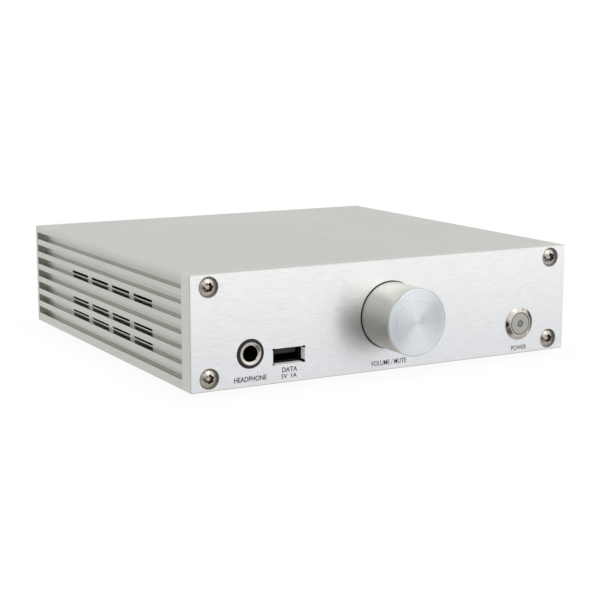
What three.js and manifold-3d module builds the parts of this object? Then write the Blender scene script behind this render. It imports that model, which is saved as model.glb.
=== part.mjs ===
// A desktop headphone amplifier: a grooved aluminium sleeve closed by a thick front plate and
// a thin rear plate, with its controls, sockets, boards, screws and feet.
// Millimetres, +Z up, the front looking along -Y. The origin is under the middle of the object.
import * as THREE from 'three';
import { mergeVertices } from 'three/addons/utils/BufferGeometryUtils.js';
import Module from 'manifold-3d';

const wasm = await Module();
wasm.setup();

// Case
const CASE_WIDTH = 196;
const CASE_DEPTH = 190;
const CASE_HEIGHT = 50;
const CASE_EDGE_RADIUS = 1.5;
const FRONT_PLATE = 8.5;
const FRONT_CHAMFER = 0.35;
const REAR_PLATE = 2.5;
const CORNER_SCREW_SIDE_INSET = 8.7;
const CORNER_SCREW_EDGE_INSET = 5.5;

// Gaps between pieces, and how far a cutting tool runs past what it cuts
const SEAM = 0.05;
const CLEARANCE = 0.1;
const POCKET_CLEARANCE = 0.5;
const OVERRUN = 2;

// Sleeve
const TOP_WALL = 2.5;
const FLOOR_WALL = 2.5;
const GROOVE_COUNT = 7;
const GROOVE_HEIGHT = 3.4;
const GROOVE_DEPTH = 4.1;
const GROOVE_WEB = 1.8;
const TOP_RIDGE = 3.3;
const BOTTOM_RIDGE = 4.4;
const VENTED_GROOVES = [2, 4, 5];
const VENT_COUNT = 4;
const VENT_PITCH = 26;
const VENT_LENGTH = 21;
const VENT_HEIGHT = 2.6;
const VENT_SILL = 0.45;
const VENT_CORNER = 0.5;
const BOSS_RADIUS = 4;
const BOARD_RIB_WIDTH = 8;
const BOARD_RIB_SIDE_INSET = 38;

// Corner screws, which hold both plates
const SCREW_SHANK_RADIUS = 2;
const SCREW_LENGTH = 16;
const SCREW_HEAD_RADIUS = 4.1;
const SCREW_HEAD_HEIGHT = 2.2;
const SCREW_RECESS_RADIUS = 2;
const SCREW_RECESS_DEPTH = 1.3;
const SCREW_LOBES = 6;
const SCREW_VALLEY_SHARE = 0.72;
const SCREW_DOME_SHARES = [[1, 0], [1, 0.45], [0.85, 0.8], [0.55, 1], [0, 1]];
const COUNTERBORE_RADIUS = 4.55;
const COUNTERBORE_DEPTH = 1.6;

// Feet and their screws
const FOOT_RADIUS = 6.5;
const FOOT_TIP_RADIUS = 6;
const FOOT_HEIGHT = 3;
const FOOT_INSET = 24;
const FOOT_COUNTERBORE_RADIUS = 3.6;
const FOOT_COUNTERBORE_DEPTH = 1.8;
const FOOT_SCREW_SHANK_RADIUS = 1.5;
const FOOT_SCREW_LENGTH = 4.2;
const FOOT_SCREW_HEAD_RADIUS = 3;
const FOOT_SCREW_HEAD_HEIGHT = 1.3;
const FOOT_SCREW_RECESS_RADIUS = 1.3;
const FOOT_SCREW_RECESS_DEPTH = 0.8;

// Boards and their screws
const BOARD_THICKNESS = 1.6;
const BOARD_SIDE_GAP = 8;
const BOARD_REAR_GAP = 1;
const FRONT_BOARD_SOCKET_GAP = 6.6;
const FRONT_BOARD_TOP_GAP = 2;
const FRONT_BOARD_SIDE_INSET = 15;
const CONNECTOR_WIDTH = 26;
const CONNECTOR_HEIGHT = 6;
const CONNECTOR_DEPTH = 5;
const CONNECTOR_X = 32;
const BOARD_SCREW_END_INSET = 20;
const BOARD_SCREW_SHANK_RADIUS = 1.5;
const BOARD_SCREW_LENGTH = 5;
const BOARD_SCREW_HEAD_RADIUS = 2.8;
const BOARD_SCREW_HEAD_HEIGHT = 1.9;
const BOARD_SCREW_RECESS_RADIUS = 1.3;
const BOARD_SCREW_RECESS_DEPTH = 1;

// Headphone jack, placed from the left and lower edges of the face
const JACK_SIDE_INSET = 28;
const JACK_HEIGHT = 14.4;
const PANEL_WEB = 3.3;
const JACK_COLLAR_RADIUS = 6.25;
const JACK_COLLAR_PROUD = 0.2;
const JACK_HOUSING_WIDTH = 16;
const JACK_HOUSING_TOP = 6.2;
const JACK_HOUSING_LENGTH = 30;
const JACK_BORE_RADIUS = 4;
const JACK_BORE_END_WALL = 1;
const FERRULE_RADIUS = 5;
const FERRULE_BORE_RADIUS = 3.5;
const FERRULE_LENGTH = 10;
const FERRULE_PROUD = 0.5;
const FERRULE_LEAD_IN = 0.3;
const CONTACT_WIDTH = 2;
const CONTACT_THICKNESS = 0.35;
const CONTACT_LENGTH = 16;

// USB socket, placed from the left and lower edges of the face
const USB_SIDE_INSET = 46.7;
const USB_HEIGHT = 11.75;
const USB_CUTOUT_WIDTH = 15.4;
const USB_CUTOUT_HEIGHT = 6.9;
const USB_RELIEF_RADIUS = 0.8;
const USB_RELIEF_INSET = 0.35;
const USB_SHELL_WIDTH = 13.4;
const USB_SHELL_HEIGHT = 6;
const USB_SHELL_WALL = 0.4;
const USB_SHELL_LENGTH = 14;
const USB_TONGUE_WIDTH = 11;
const USB_TONGUE_THICKNESS = 1.84;
const USB_TONGUE_RISE = 1.2;
const USB_TONGUE_RECESS = 0.9;
const USB_BLOCK_LENGTH = 4;

// Volume encoder and knob, on the middle of the face
const ENCODER_WEB = 3;
const ENCODER_SIZE = 13.4;
const ENCODER_DEPTH = 7.9;
const BUSHING_RADIUS = 3.5;
const BUSHING_PROUD = 3.2;
const ENCODER_NUT_ACROSS_FLATS = 10;
const ENCODER_NUT_THICKNESS = 2.2;
const SHAFT_RADIUS = 3;
const SHAFT_REACH = 16;
const SHAFT_FLANGE_RADIUS = 4.2;
const SHAFT_FLANGE_THICKNESS = 0.9;
const PLUNGER_CAVITY_RADIUS = 5.2;
const PLUNGER_CAVITY_DEPTH = 4;
const PLUNGER_RADIUS = 4.8;
const PLUNGER_THICKNESS = 1.2;
const PLUNGER_NIB_RADIUS = 1;
const PLUNGER_NIB_LENGTH = 0.9;
const DOME_RADIUS = 4;
const DOME_THICKNESS = 0.2;
const KNOB_RADIUS = 15;
const KNOB_REACH = 22;
const KNOB_SINK = 1;
const KNOB_CHAMFER = 0.5;
const KNOB_RECESS_RADIUS = 10;
const KNOB_RECESS_DEPTH = 7;
const KNOB_WELL_GAP = 0.7;
const KNOB_WELL_FLOOR_GAP = 0.9;
const KNOB_BORE_END = 1;
const SET_SCREW_RADIUS = 1.5;
const SET_SCREW_LENGTH = 6;
const SET_SCREW_HEIGHT = 11;
const SET_SCREW_RECESS_RADIUS = 0.8;
const SET_SCREW_RECESS_DEPTH = 1.6;

// Power button, placed from the right and lower edges of the face
const POWER_SIDE_INSET = 26.2;
const POWER_HEIGHT = 14.3;
const BEZEL_RADIUS = 7.75;
const BEZEL_RIM_HEIGHT = 0.25;
const BEZEL_PROUD = 1.2;
const BEZEL_LIP_RADIUS = 5.7;
const BARREL_RADIUS = 6;
const BARREL_LENGTH = 15;
const BARREL_FLOOR = 2.4;
const BEZEL_MARK_WIDTH = 0.7;
const BEZEL_MARK_LENGTH = 1.2;
const BEZEL_MARK_RADIUS = 6.8;
const BEZEL_MARK_DEPTH = 0.4;
const BEZEL_MARK_ANGLE = THREE.MathUtils.degToRad(71);
const CAP_RADIUS = 5;
const CAP_GAP = 0.2;
const CAP_PROUD = 1.25;
const CAP_LENGTH = 4.7;
const CAP_EDGE = 0.25;
const CAP_STEM_RADIUS = 2.2;
const CAP_STEM_LENGTH = 10.4;
const LENS_RADIUS = 1.45;
const LENS_RECESS = 0.3;
const LENS_LENGTH = 1.4;
const POWER_NUT_ACROSS_FLATS = 14;
const POWER_NUT_THICKNESS = 2.4;
const SPRING_RADIUS = 3.6;
const SPRING_WIRE_RADIUS = 0.35;
const SPRING_TURNS = 4;
const SPRING_END_GAP = 0.3;
const SWITCH_BASE_RADIUS = 5.8;
const SWITCH_BASE_LENGTH = 7;
const SWITCH_BASE_SOCKET_DEPTH = 2.5;

// Rear sockets, placed from the middle of the case and from the top of the main board
const DC_SIDE_INSET = 38;
const DC_WIDTH = 9;
const DC_HEIGHT = 11;
const DC_LENGTH = 14;
const DC_NOSE_RADIUS = 4;
const DC_NOSE_PROUD = 0.6;
const DC_NOSE_RISE = 6.4;
const DC_BORE_RADIUS = 3.1;
const DC_BORE_DEPTH = 9.5;
const DC_PIN_RADIUS = 1;
const DC_PIN_RECESS = 0.8;
const USB_B_X = 18;
const USB_B_WIDTH = 12;
const USB_B_HEIGHT = 10.8;
const USB_B_LENGTH = 16;
const USB_B_PROUD = 0.5;
const USB_B_MOUTH_WIDTH = 8.5;
const USB_B_MOUTH_HEIGHT = 7.8;
const USB_B_MOUTH_DEPTH = 9;
const USB_B_MOUTH_CORNER = 1.4;
const USB_B_TONGUE_WIDTH = 5.6;
const USB_B_TONGUE_HEIGHT = 3.2;
const USB_B_TONGUE_RECESS = 0.8;
const LINE_BLOCK_SIDE_INSET = 59;
const LINE_BLOCK_WIDTH = 34;
const LINE_BLOCK_HEIGHT = 29;
const LINE_BLOCK_LENGTH = 12;
const LINE_COLUMN_PITCH = 18;
const LINE_ROW_PITCH = 14.5;
const LINE_LOW_RISE = 7.2;
const LINE_SHELL_RADIUS = 4.15;
const LINE_FLANGE_RADIUS = 5.2;
const LINE_FLANGE_THICKNESS = 1;
const LINE_REACH = 9;
const LINE_BORE_RADIUS = 1.65;
const LINE_BORE_DEPTH = 8;
const LINE_FACE_RECESS = 0.6;
const LINE_SHELL_WALL = 0.5;

// Larger parts on the main board
const CAPACITOR_RADIUS = 6.25;
const CAPACITOR_HEIGHT = 20;
const CAPACITOR_RIM_HEIGHT = 2;
const CAPACITOR_NECK_HEIGHT = 3;
const CAPACITOR_SHOULDER_HEIGHT = 4;
const CAPACITOR_NECK_RADIUS = 5.8;
const CAPACITOR_PITCH = 15;
const CAPACITOR_SIDE_INSET = 32.1;
const CAPACITOR_Y = 38;
const HEAT_SINK_SIDE_INSET = 32.1;
const HEAT_SINK_Y = 18;
const HEAT_SINK_WIDTH = 26;
const HEAT_SINK_LENGTH = 45;
const HEAT_SINK_HEIGHT = 20;
const HEAT_SINK_BASE = 3;
const HEAT_SINK_FINS = 6;
const HEAT_SINK_FIN_THICKNESS = 1.4;
const CHIP_WIDTH = 10;
const CHIP_HEIGHT = 15;
const CHIP_THICKNESS = 4.5;
const RELAY_WIDTH = 20;
const RELAY_LENGTH = 10;
const RELAY_HEIGHT = 10;
const RELAY_X = -20;
const RELAY_Y = -40;

// How finely round surfaces are cut
const FINE_SIDES = 36;
const ROUND_SIDES = 20;
const SMALL_SIDES = 12;
const HEXAGON_SIDES = 6;
const CORNER_SEGMENTS = 3;
const SPRING_STEPS_PER_TURN = 8;
const SPRING_SIDES = 5;

// Places worked out from the sizes above
const HALF_WIDTH = CASE_WIDTH / 2;
const HALF_HEIGHT = CASE_HEIGHT / 2;
const FRONT_Y = -CASE_DEPTH / 2;
const REAR_Y = CASE_DEPTH / 2;
const SLEEVE_FRONT_Y = FRONT_Y + FRONT_PLATE + SEAM;
const SLEEVE_REAR_Y = REAR_Y - REAR_PLATE - SEAM;
const SLEEVE_MIDDLE_Y = (SLEEVE_FRONT_Y + SLEEVE_REAR_Y) / 2;
const CAVITY_HALF_WIDTH = HALF_WIDTH - GROOVE_DEPTH - GROOVE_WEB;
const GROOVE_PITCH = (CASE_HEIGHT - TOP_RIDGE - BOTTOM_RIDGE - GROOVE_HEIGHT) / (GROOVE_COUNT - 1);
const SCREW_HOLE_RADIUS = SCREW_SHANK_RADIUS + CLEARANCE;
const SCREW_COLUMN_X = HALF_WIDTH - CORNER_SCREW_SIDE_INSET;
const SCREW_ROWS = [CORNER_SCREW_EDGE_INSET, CASE_HEIGHT - CORNER_SCREW_EDGE_INSET];
const CORNERS = [[-1, 0], [1, 0], [-1, 1], [1, 1]];
const CORNER_NAMES = ['lower_left', 'lower_right', 'upper_left', 'upper_right'];
const FOOT_X = HALF_WIDTH - FOOT_INSET;
const FOOT_Y = REAR_Y - FOOT_INSET;
const FOOT_PLACES = [[-FOOT_X, -FOOT_Y], [FOOT_X, -FOOT_Y], [-FOOT_X, FOOT_Y], [FOOT_X, FOOT_Y]];
const FOOT_NAMES = ['front_left', 'front_right', 'rear_left', 'rear_right'];
const BOARD_TOP = USB_HEIGHT - USB_SHELL_HEIGHT / 2 - CLEARANCE;
const BOARD_UNDERSIDE = BOARD_TOP - BOARD_THICKNESS;
const BOARD_HALF_WIDTH = CAVITY_HALF_WIDTH - BOARD_SIDE_GAP;
const JACK_X = JACK_SIDE_INSET - HALF_WIDTH;
const USB_X = USB_SIDE_INSET - HALF_WIDTH;
const POWER_X = HALF_WIDTH - POWER_SIDE_INSET;
const ENCODER_BACK = -ENCODER_WEB - SEAM - ENCODER_DEPTH;
const FRONT_BOARD_FACE = ENCODER_BACK - CLEARANCE;
const FRONT_BOARD_BACK = FRONT_BOARD_FACE - BOARD_THICKNESS;
const BOARD_FRONT_Y = FRONT_Y - FRONT_BOARD_BACK + CLEARANCE;
const BOARD_REAR_Y = SLEEVE_REAR_Y - BOARD_REAR_GAP;
const BOARD_RIB_X = CAVITY_HALF_WIDTH - BOARD_RIB_SIDE_INSET;
const BOARD_SCREW_PLACES = [
  [-BOARD_RIB_X, BOARD_FRONT_Y + BOARD_SCREW_END_INSET],
  [BOARD_RIB_X, BOARD_FRONT_Y + BOARD_SCREW_END_INSET],
  [-BOARD_RIB_X, BOARD_REAR_Y - BOARD_SCREW_END_INSET],
  [BOARD_RIB_X, BOARD_REAR_Y - BOARD_SCREW_END_INSET],
];
const CAPACITOR_X = CAPACITOR_SIDE_INSET - BOARD_HALF_WIDTH;
const HEAT_SINK_X = BOARD_HALF_WIDTH - HEAT_SINK_SIDE_INSET;
const PLATE_BACK = -REAR_PLATE - SEAM;
const DC_X = HALF_WIDTH - DC_SIDE_INSET;
const LINE_BLOCK_X = LINE_BLOCK_SIDE_INSET - HALF_WIDTH;
const DC_RISE = BOARD_TOP + CLEARANCE;
const LINE_ROWS = [BOARD_TOP + LINE_LOW_RISE, BOARD_TOP + LINE_LOW_RISE + LINE_ROW_PITCH];
const LINE_COLUMNS = [LINE_BLOCK_X - LINE_COLUMN_PITCH / 2, LINE_BLOCK_X + LINE_COLUMN_PITCH / 2];
const CAP_BORE_RADIUS = CAP_RADIUS + CAP_GAP;
const CAP_BACK = CAP_PROUD - CAP_LENGTH;
const BARREL_FLOOR_FACE = BARREL_FLOOR - BARREL_LENGTH;
const QUARTER_TURN = Math.PI / 2;

// Materials
const finish = (color, roughness, metalness) =>
  new THREE.MeshStandardMaterial({ color, roughness, metalness });
const SATIN_ALUMINIUM = finish('#c8cac4', 0.35, 0.9);
const BRUSHED_ALUMINIUM = finish('#e3e4e7', 0.3, 0.9);
const TURNED_ALUMINIUM = finish('#d2d6da', 0.25, 0.95);
const POLISHED_STEEL = finish('#cfc8c0', 0.15, 1);
const ZINC_STEEL = finish('#b9b8b2', 0.35, 0.9);
const BLACK_PLASTIC = finish('#1b1b19', 0.5, 0);
const DARK_METAL = finish('#2a2a2b', 0.35, 0.8);
const RUBBER = finish('#202020', 0.9, 0);
const BOARD_GREEN = finish('#1f4a35', 0.5, 0);
const LENS_GREY = finish('#7c817f', 0.3, 0);
const CAPACITOR_SLEEVE = finish('#23262e', 0.4, 0);
const BRASS = finish('#c9a24e', 0.3, 1);

// Turns a closed geometry into a solid that can be cut and joined
function toSolid(geometry) {
  const bare = geometry.clone();
  bare.deleteAttribute('normal');
  bare.deleteAttribute('uv');
  const merged = mergeVertices(bare);
  const corners = merged.index.array;
  const kept = [];
  for (let at = 0; at < corners.length; at += 3) {
    const [a, b, c] = corners.slice(at, at + 3);
    if (a !== b && b !== c && c !== a) kept.push(a, b, c);
  }
  return new wasm.Manifold(new wasm.Mesh({
    numProp: 3,
    vertProperties: new Float32Array(merged.attributes.position.array),
    triVerts: new Uint32Array(kept),
  }));
}

function toGeometry(solid) {
  const { vertProperties, triVerts } = solid.getMesh();
  const geometry = new THREE.BufferGeometry();
  geometry.setAttribute('position', new THREE.BufferAttribute(vertProperties, 3));
  geometry.setIndex(new THREE.BufferAttribute(triVerts, 1));
  geometry.computeVertexNormals();
  return geometry;
}

// Joins the added shapes to the base and cuts the removed ones out of the result
function shaped(base, added, removed) {
  let solid = toSolid(base);
  for (const piece of added) solid = solid.add(toSolid(piece));
  for (const tool of removed) solid = solid.subtract(toSolid(tool));
  return toGeometry(solid);
}

// A box between two opposite corners
function brick(low, high) {
  const [width, depth, height] = high.map((value, axis) => value - low[axis]);
  const [x, y, z] = high.map((value, axis) => (value + low[axis]) / 2);
  return new THREE.BoxGeometry(width, depth, height).translate(x, y, z);
}

// A cylinder along Z between two heights
function rod(radius, low, high, sides = ROUND_SIDES) {
  const cylinder = new THREE.CylinderGeometry(radius, radius, high - low, sides);
  return cylinder.rotateX(QUARTER_TURN).translate(0, 0, (low + high) / 2);
}

// A body turned about Z from a list of [radius, height] points that starts and ends on the axis
function turned(profile, sides = ROUND_SIDES) {
  const points = profile.map(([radius, height]) => new THREE.Vector2(radius, height));
  return new THREE.LatheGeometry(points, sides).rotateX(QUARTER_TURN);
}

// A six-sided prism along Z, measured across its flats
function hexagon(acrossFlats, low, high) {
  return rod(acrossFlats / 2 / Math.cos(Math.PI / HEXAGON_SIDES), low, high, HEXAGON_SIDES);
}

function roundedRectangle(width, height, radius, x, y) {
  const [right, top] = [x + width / 2, y + height / 2];
  const [left, bottom] = [x - width / 2, y - height / 2];
  const shape = new THREE.Shape();
  shape.moveTo(left + radius, bottom);
  shape.absarc(right - radius, bottom + radius, radius, -QUARTER_TURN, 0);
  shape.absarc(right - radius, top - radius, radius, 0, QUARTER_TURN);
  shape.absarc(left + radius, top - radius, radius, QUARTER_TURN, Math.PI);
  shape.absarc(left + radius, bottom + radius, radius, Math.PI, Math.PI + QUARTER_TURN);
  return shape;
}

function extruded(shape, low, high, curveSegments = CORNER_SEGMENTS) {
  const options = { depth: high - low, bevelEnabled: false, curveSegments };
  return new THREE.ExtrudeGeometry(shape, options).translate(0, 0, low);
}

// Lays a shape's X and Y along the object's X and Z, and its length along Y
function lengthways(shape, front, rear) {
  return extruded(shape, -rear, -front).rotateX(QUARTER_TURN);
}

// Lays a shape's X and Y along the object's Y and Z, and its length along X
function sideways(shape, left, right) {
  return extruded(shape, left, right, 1).rotateX(QUARTER_TURN).rotateZ(QUARTER_TURN);
}

// The case's sleeve
function sleeveBore(x, z, radius) {
  return rod(radius, -SLEEVE_REAR_Y - OVERRUN, OVERRUN - SLEEVE_FRONT_Y, SMALL_SIDES)
    .rotateX(QUARTER_TURN).translate(x, 0, z);
}

function screwBoss(x, z) {
  return rod(BOSS_RADIUS, -SLEEVE_REAR_Y, -SLEEVE_FRONT_Y, SMALL_SIDES)
    .rotateX(QUARTER_TURN).translate(x, 0, z);
}

function groove(side, order) {
  const top = CASE_HEIGHT - TOP_RIDGE - order * GROOVE_PITCH;
  const inner = side * (HALF_WIDTH - GROOVE_DEPTH);
  const outer = side * (HALF_WIDTH + OVERRUN);
  return brick(
    [Math.min(inner, outer), SLEEVE_FRONT_Y - OVERRUN, top - GROOVE_HEIGHT],
    [Math.max(inner, outer), SLEEVE_REAR_Y + OVERRUN, top],
  );
}

function vent(side, order, number) {
  const shelf = CASE_HEIGHT - TOP_RIDGE - order * GROOVE_PITCH - GROOVE_HEIGHT;
  const y = SLEEVE_MIDDLE_Y + (number - (VENT_COUNT - 1) / 2) * VENT_PITCH;
  const z = shelf + VENT_SILL + VENT_HEIGHT / 2;
  const inner = side * (CAVITY_HALF_WIDTH - OVERRUN);
  const outer = side * (HALF_WIDTH - GROOVE_DEPTH + OVERRUN);
  const slot = roundedRectangle(VENT_LENGTH, VENT_HEIGHT, VENT_CORNER, y, z);
  return sideways(slot, Math.min(inner, outer), Math.max(inner, outer));
}

function boardRib(side) {
  const x = side * BOARD_RIB_X;
  return brick(
    [x - BOARD_RIB_WIDTH / 2, SLEEVE_FRONT_Y, FLOOR_WALL / 2],
    [x + BOARD_RIB_WIDTH / 2, SLEEVE_REAR_Y, BOARD_UNDERSIDE - SEAM],
  );
}

function sleeveGeometry() {
  const outline = roundedRectangle(CASE_WIDTH, CASE_HEIGHT, CASE_EDGE_RADIUS, 0, HALF_HEIGHT);
  const cavity = brick(
    [-CAVITY_HALF_WIDTH, SLEEVE_FRONT_Y - OVERRUN, FLOOR_WALL],
    [CAVITY_HALF_WIDTH, SLEEVE_REAR_Y + OVERRUN, CASE_HEIGHT - TOP_WALL],
  );
  const tube = shaped(lengthways(outline, SLEEVE_FRONT_Y, SLEEVE_REAR_Y), [], [cavity]);
  const inside = [boardRib(-1), boardRib(1)];
  const removed = [];
  for (const [side, row] of CORNERS) {
    inside.push(screwBoss(side * SCREW_COLUMN_X, SCREW_ROWS[row]));
    removed.push(sleeveBore(side * SCREW_COLUMN_X, SCREW_ROWS[row], SCREW_HOLE_RADIUS));
  }
  for (const side of [-1, 1]) {
    for (let order = 0; order < GROOVE_COUNT; order += 1) removed.push(groove(side, order));
    for (const order of VENTED_GROOVES) {
      for (let number = 0; number < VENT_COUNT; number += 1) removed.push(vent(side, order, number));
    }
  }
  const footHole = FOOT_SCREW_SHANK_RADIUS + CLEARANCE;
  for (const [x, y] of FOOT_PLACES) {
    removed.push(rod(footHole, -OVERRUN, FLOOR_WALL + OVERRUN, SMALL_SIDES).translate(x, y, 0));
  }
  const boardHole = BOARD_SCREW_SHANK_RADIUS + CLEARANCE;
  for (const [x, y] of BOARD_SCREW_PLACES) {
    const bottom = BOARD_TOP - BOARD_SCREW_LENGTH - CLEARANCE;
    removed.push(rod(boardHole, bottom, BOARD_TOP, SMALL_SIDES).translate(x, y, 0));
  }
  return shaped(tube, inside, removed);
}

// The front plate, in the face's own frame: X across, Y up, Z out of the face
function usbCutout() {
  const [halfWidth, halfHeight] = [USB_CUTOUT_WIDTH / 2, USB_CUTOUT_HEIGHT / 2];
  const tools = [brick(
    [USB_X - halfWidth, USB_HEIGHT - halfHeight, -PANEL_WEB - OVERRUN],
    [USB_X + halfWidth, USB_HEIGHT + halfHeight, OVERRUN],
  )];
  for (const [side, row] of CORNERS) {
    const x = USB_X + side * (halfWidth - USB_RELIEF_INSET);
    const y = USB_HEIGHT + (2 * row - 1) * (halfHeight - USB_RELIEF_INSET);
    const drill = rod(USB_RELIEF_RADIUS, -PANEL_WEB - OVERRUN, OVERRUN, SMALL_SIDES);
    tools.push(drill.translate(x, y, 0));
  }
  return tools;
}

function pocket(left, right, low, high, web) {
  const gap = POCKET_CLEARANCE;
  return brick([left - gap, low - gap, -FRONT_PLATE - OVERRUN], [right + gap, high + gap, -web]);
}

// The ring-shaped well that the knob's skirt runs in, round a land for the encoder's nut
function knobWell() {
  const floor = -KNOB_SINK - KNOB_WELL_FLOOR_GAP;
  const ring = rod(KNOB_RADIUS + KNOB_WELL_GAP, floor, OVERRUN, FINE_SIDES);
  return shaped(ring, [], [rod(KNOB_RECESS_RADIUS - KNOB_WELL_GAP, floor - OVERRUN, 2 * OVERRUN)]);
}

function frontPlateGeometry() {
  const outline = roundedRectangle(CASE_WIDTH, CASE_HEIGHT, CASE_EDGE_RADIUS, 0, HALF_HEIGHT);
  const blank = new THREE.ExtrudeGeometry(outline, {
    depth: FRONT_PLATE,
    bevelThickness: FRONT_CHAMFER,
    bevelSize: FRONT_CHAMFER,
    bevelOffset: -FRONT_CHAMFER,
    bevelSegments: 1,
    curveSegments: CORNER_SEGMENTS,
  }).translate(0, 0, -FRONT_PLATE - FRONT_CHAMFER);
  const behind = brick(
    [-CASE_WIDTH, -CASE_HEIGHT, -FRONT_PLATE - CASE_HEIGHT],
    [CASE_WIDTH, 2 * CASE_HEIGHT, -FRONT_PLATE],
  );
  const deep = -FRONT_PLATE - OVERRUN;
  const encoderHalf = ENCODER_SIZE / 2;
  const usbHalf = USB_SHELL_WIDTH / 2;
  const jackHalf = JACK_HOUSING_WIDTH / 2;
  const removed = [
    behind,
    rod(JACK_COLLAR_RADIUS + CLEARANCE, deep, OVERRUN).translate(JACK_X, JACK_HEIGHT, 0),
    pocket(JACK_X - jackHalf, JACK_X + jackHalf, BOARD_TOP, JACK_HEIGHT + JACK_HOUSING_TOP, PANEL_WEB),
    ...usbCutout(),
    pocket(USB_X - usbHalf, USB_X + usbHalf, BOARD_TOP, USB_HEIGHT + USB_SHELL_HEIGHT / 2, PANEL_WEB),
    rod(BUSHING_RADIUS + CLEARANCE, deep, OVERRUN).translate(0, HALF_HEIGHT, 0),
    pocket(-encoderHalf, encoderHalf, HALF_HEIGHT - encoderHalf, HALF_HEIGHT + encoderHalf, ENCODER_WEB),
    rod(BARREL_RADIUS + CLEARANCE, deep, OVERRUN).translate(POWER_X, POWER_HEIGHT, 0),
    knobWell().translate(0, HALF_HEIGHT, 0),
  ];
  for (const [side, row] of CORNERS) {
    const [x, y] = [side * SCREW_COLUMN_X, SCREW_ROWS[row]];
    removed.push(rod(SCREW_HOLE_RADIUS, deep, OVERRUN, SMALL_SIDES).translate(x, y, 0));
    removed.push(rod(COUNTERBORE_RADIUS, -COUNTERBORE_DEPTH, OVERRUN).translate(x, y, 0));
  }
  return shaped(blank, [], removed);
}

// The rear plate, in the rear face's own frame: X across as seen from behind, Y up, Z out
function rearPlateGeometry() {
  const outline = roundedRectangle(CASE_WIDTH, CASE_HEIGHT, CASE_EDGE_RADIUS, 0, HALF_HEIGHT);
  const deep = -REAR_PLATE - OVERRUN;
  const usbLow = BOARD_TOP + CLEARANCE;
  const removed = [
    rod(DC_NOSE_RADIUS + CLEARANCE, deep, OVERRUN).translate(-DC_X, DC_RISE + DC_NOSE_RISE, 0),
    brick(
      [-USB_B_X - USB_B_WIDTH / 2 - CLEARANCE, usbLow - CLEARANCE, deep],
      [-USB_B_X + USB_B_WIDTH / 2 + CLEARANCE, usbLow + USB_B_HEIGHT + CLEARANCE, OVERRUN],
    ),
  ];
  for (const column of LINE_COLUMNS) {
    for (const row of LINE_ROWS) {
      removed.push(rod(LINE_SHELL_RADIUS + CLEARANCE, deep, OVERRUN).translate(-column, row, 0));
    }
  }
  for (const [side, row] of CORNERS) {
    const hole = rod(SCREW_HOLE_RADIUS, deep, OVERRUN, SMALL_SIDES);
    removed.push(hole.translate(side * SCREW_COLUMN_X, SCREW_ROWS[row], 0));
  }
  return shaped(extruded(outline, -REAR_PLATE, 0), [], removed);
}

// A domed screw standing on Z = 0 with a six-lobed recess in its head
function screwGeometry(head, height, shank, length, recess, depth) {
  const profile = [[0, -length], [shank, -length], [shank, 0]];
  for (const [out, up] of SCREW_DOME_SHARES) profile.push([out * head, up * height]);
  const star = new THREE.Shape();
  for (let corner = 0; corner < 2 * SCREW_LOBES; corner += 1) {
    const reach = recess * (corner % 2 ? SCREW_VALLEY_SHARE : 1);
    const angle = (corner * Math.PI) / SCREW_LOBES;
    star.lineTo(reach * Math.cos(angle), reach * Math.sin(angle));
  }
  return shaped(turned(profile, SMALL_SIDES), [], [extruded(star, height - depth, height + OVERRUN)]);
}

// Feet, pointing down
function footGeometry() {
  const profile = [[0, 0], [FOOT_RADIUS, 0], [FOOT_TIP_RADIUS, FOOT_HEIGHT], [0, FOOT_HEIGHT]];
  const hole = rod(FOOT_SCREW_SHANK_RADIUS + CLEARANCE, -OVERRUN, FOOT_HEIGHT, SMALL_SIDES);
  const seat = FOOT_HEIGHT - FOOT_COUNTERBORE_DEPTH;
  const counterbore = rod(FOOT_COUNTERBORE_RADIUS, seat, FOOT_HEIGHT + OVERRUN, SMALL_SIDES);
  return shaped(turned(profile), [], [hole, counterbore]);
}

// Boards
function mainBoardGeometry() {
  const blank = brick(
    [-BOARD_HALF_WIDTH, BOARD_FRONT_Y, BOARD_UNDERSIDE],
    [BOARD_HALF_WIDTH, BOARD_REAR_Y, BOARD_TOP],
  );
  const notchHalf = BARREL_RADIUS + POCKET_CLEARANCE;
  const switchEndY = FRONT_Y + BARREL_LENGTH + CLEARANCE + SWITCH_BASE_LENGTH;
  const switchNotch = brick(
    [POWER_X - notchHalf, BOARD_FRONT_Y - OVERRUN, BOARD_UNDERSIDE - OVERRUN],
    [POWER_X + notchHalf, switchEndY + POCKET_CLEARANCE, BOARD_TOP + OVERRUN],
  );
  const holes = BOARD_SCREW_PLACES.map(([x, y]) =>
    rod(BOARD_SCREW_SHANK_RADIUS + CLEARANCE, BOARD_UNDERSIDE - OVERRUN, BOARD_TOP + OVERRUN, SMALL_SIDES)
      .translate(x, y, 0));
  return shaped(blank, [], [switchNotch, ...holes]);
}

function frontBoardGeometry() {
  const left = USB_X + USB_SHELL_WIDTH / 2 + FRONT_BOARD_SOCKET_GAP;
  const top = CASE_HEIGHT - TOP_WALL - FRONT_BOARD_TOP_GAP;
  const blank = brick(
    [left, BOARD_UNDERSIDE, FRONT_BOARD_BACK],
    [HALF_WIDTH - FRONT_BOARD_SIDE_INSET, top, FRONT_BOARD_FACE],
  );
  const hole = rod(
    BARREL_RADIUS + POCKET_CLEARANCE,
    FRONT_BOARD_BACK - OVERRUN,
    FRONT_BOARD_FACE + OVERRUN,
  );
  return shaped(blank, [], [hole.translate(POWER_X, POWER_HEIGHT, 0)]);
}

function connectorGeometry() {
  const face = FRONT_BOARD_BACK - CLEARANCE;
  return brick(
    [CONNECTOR_X - CONNECTOR_WIDTH / 2, BOARD_TOP + SEAM, face - CONNECTOR_DEPTH],
    [CONNECTOR_X + CONNECTOR_WIDTH / 2, BOARD_TOP + SEAM + CONNECTOR_HEIGHT, face],
  );
}

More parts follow.
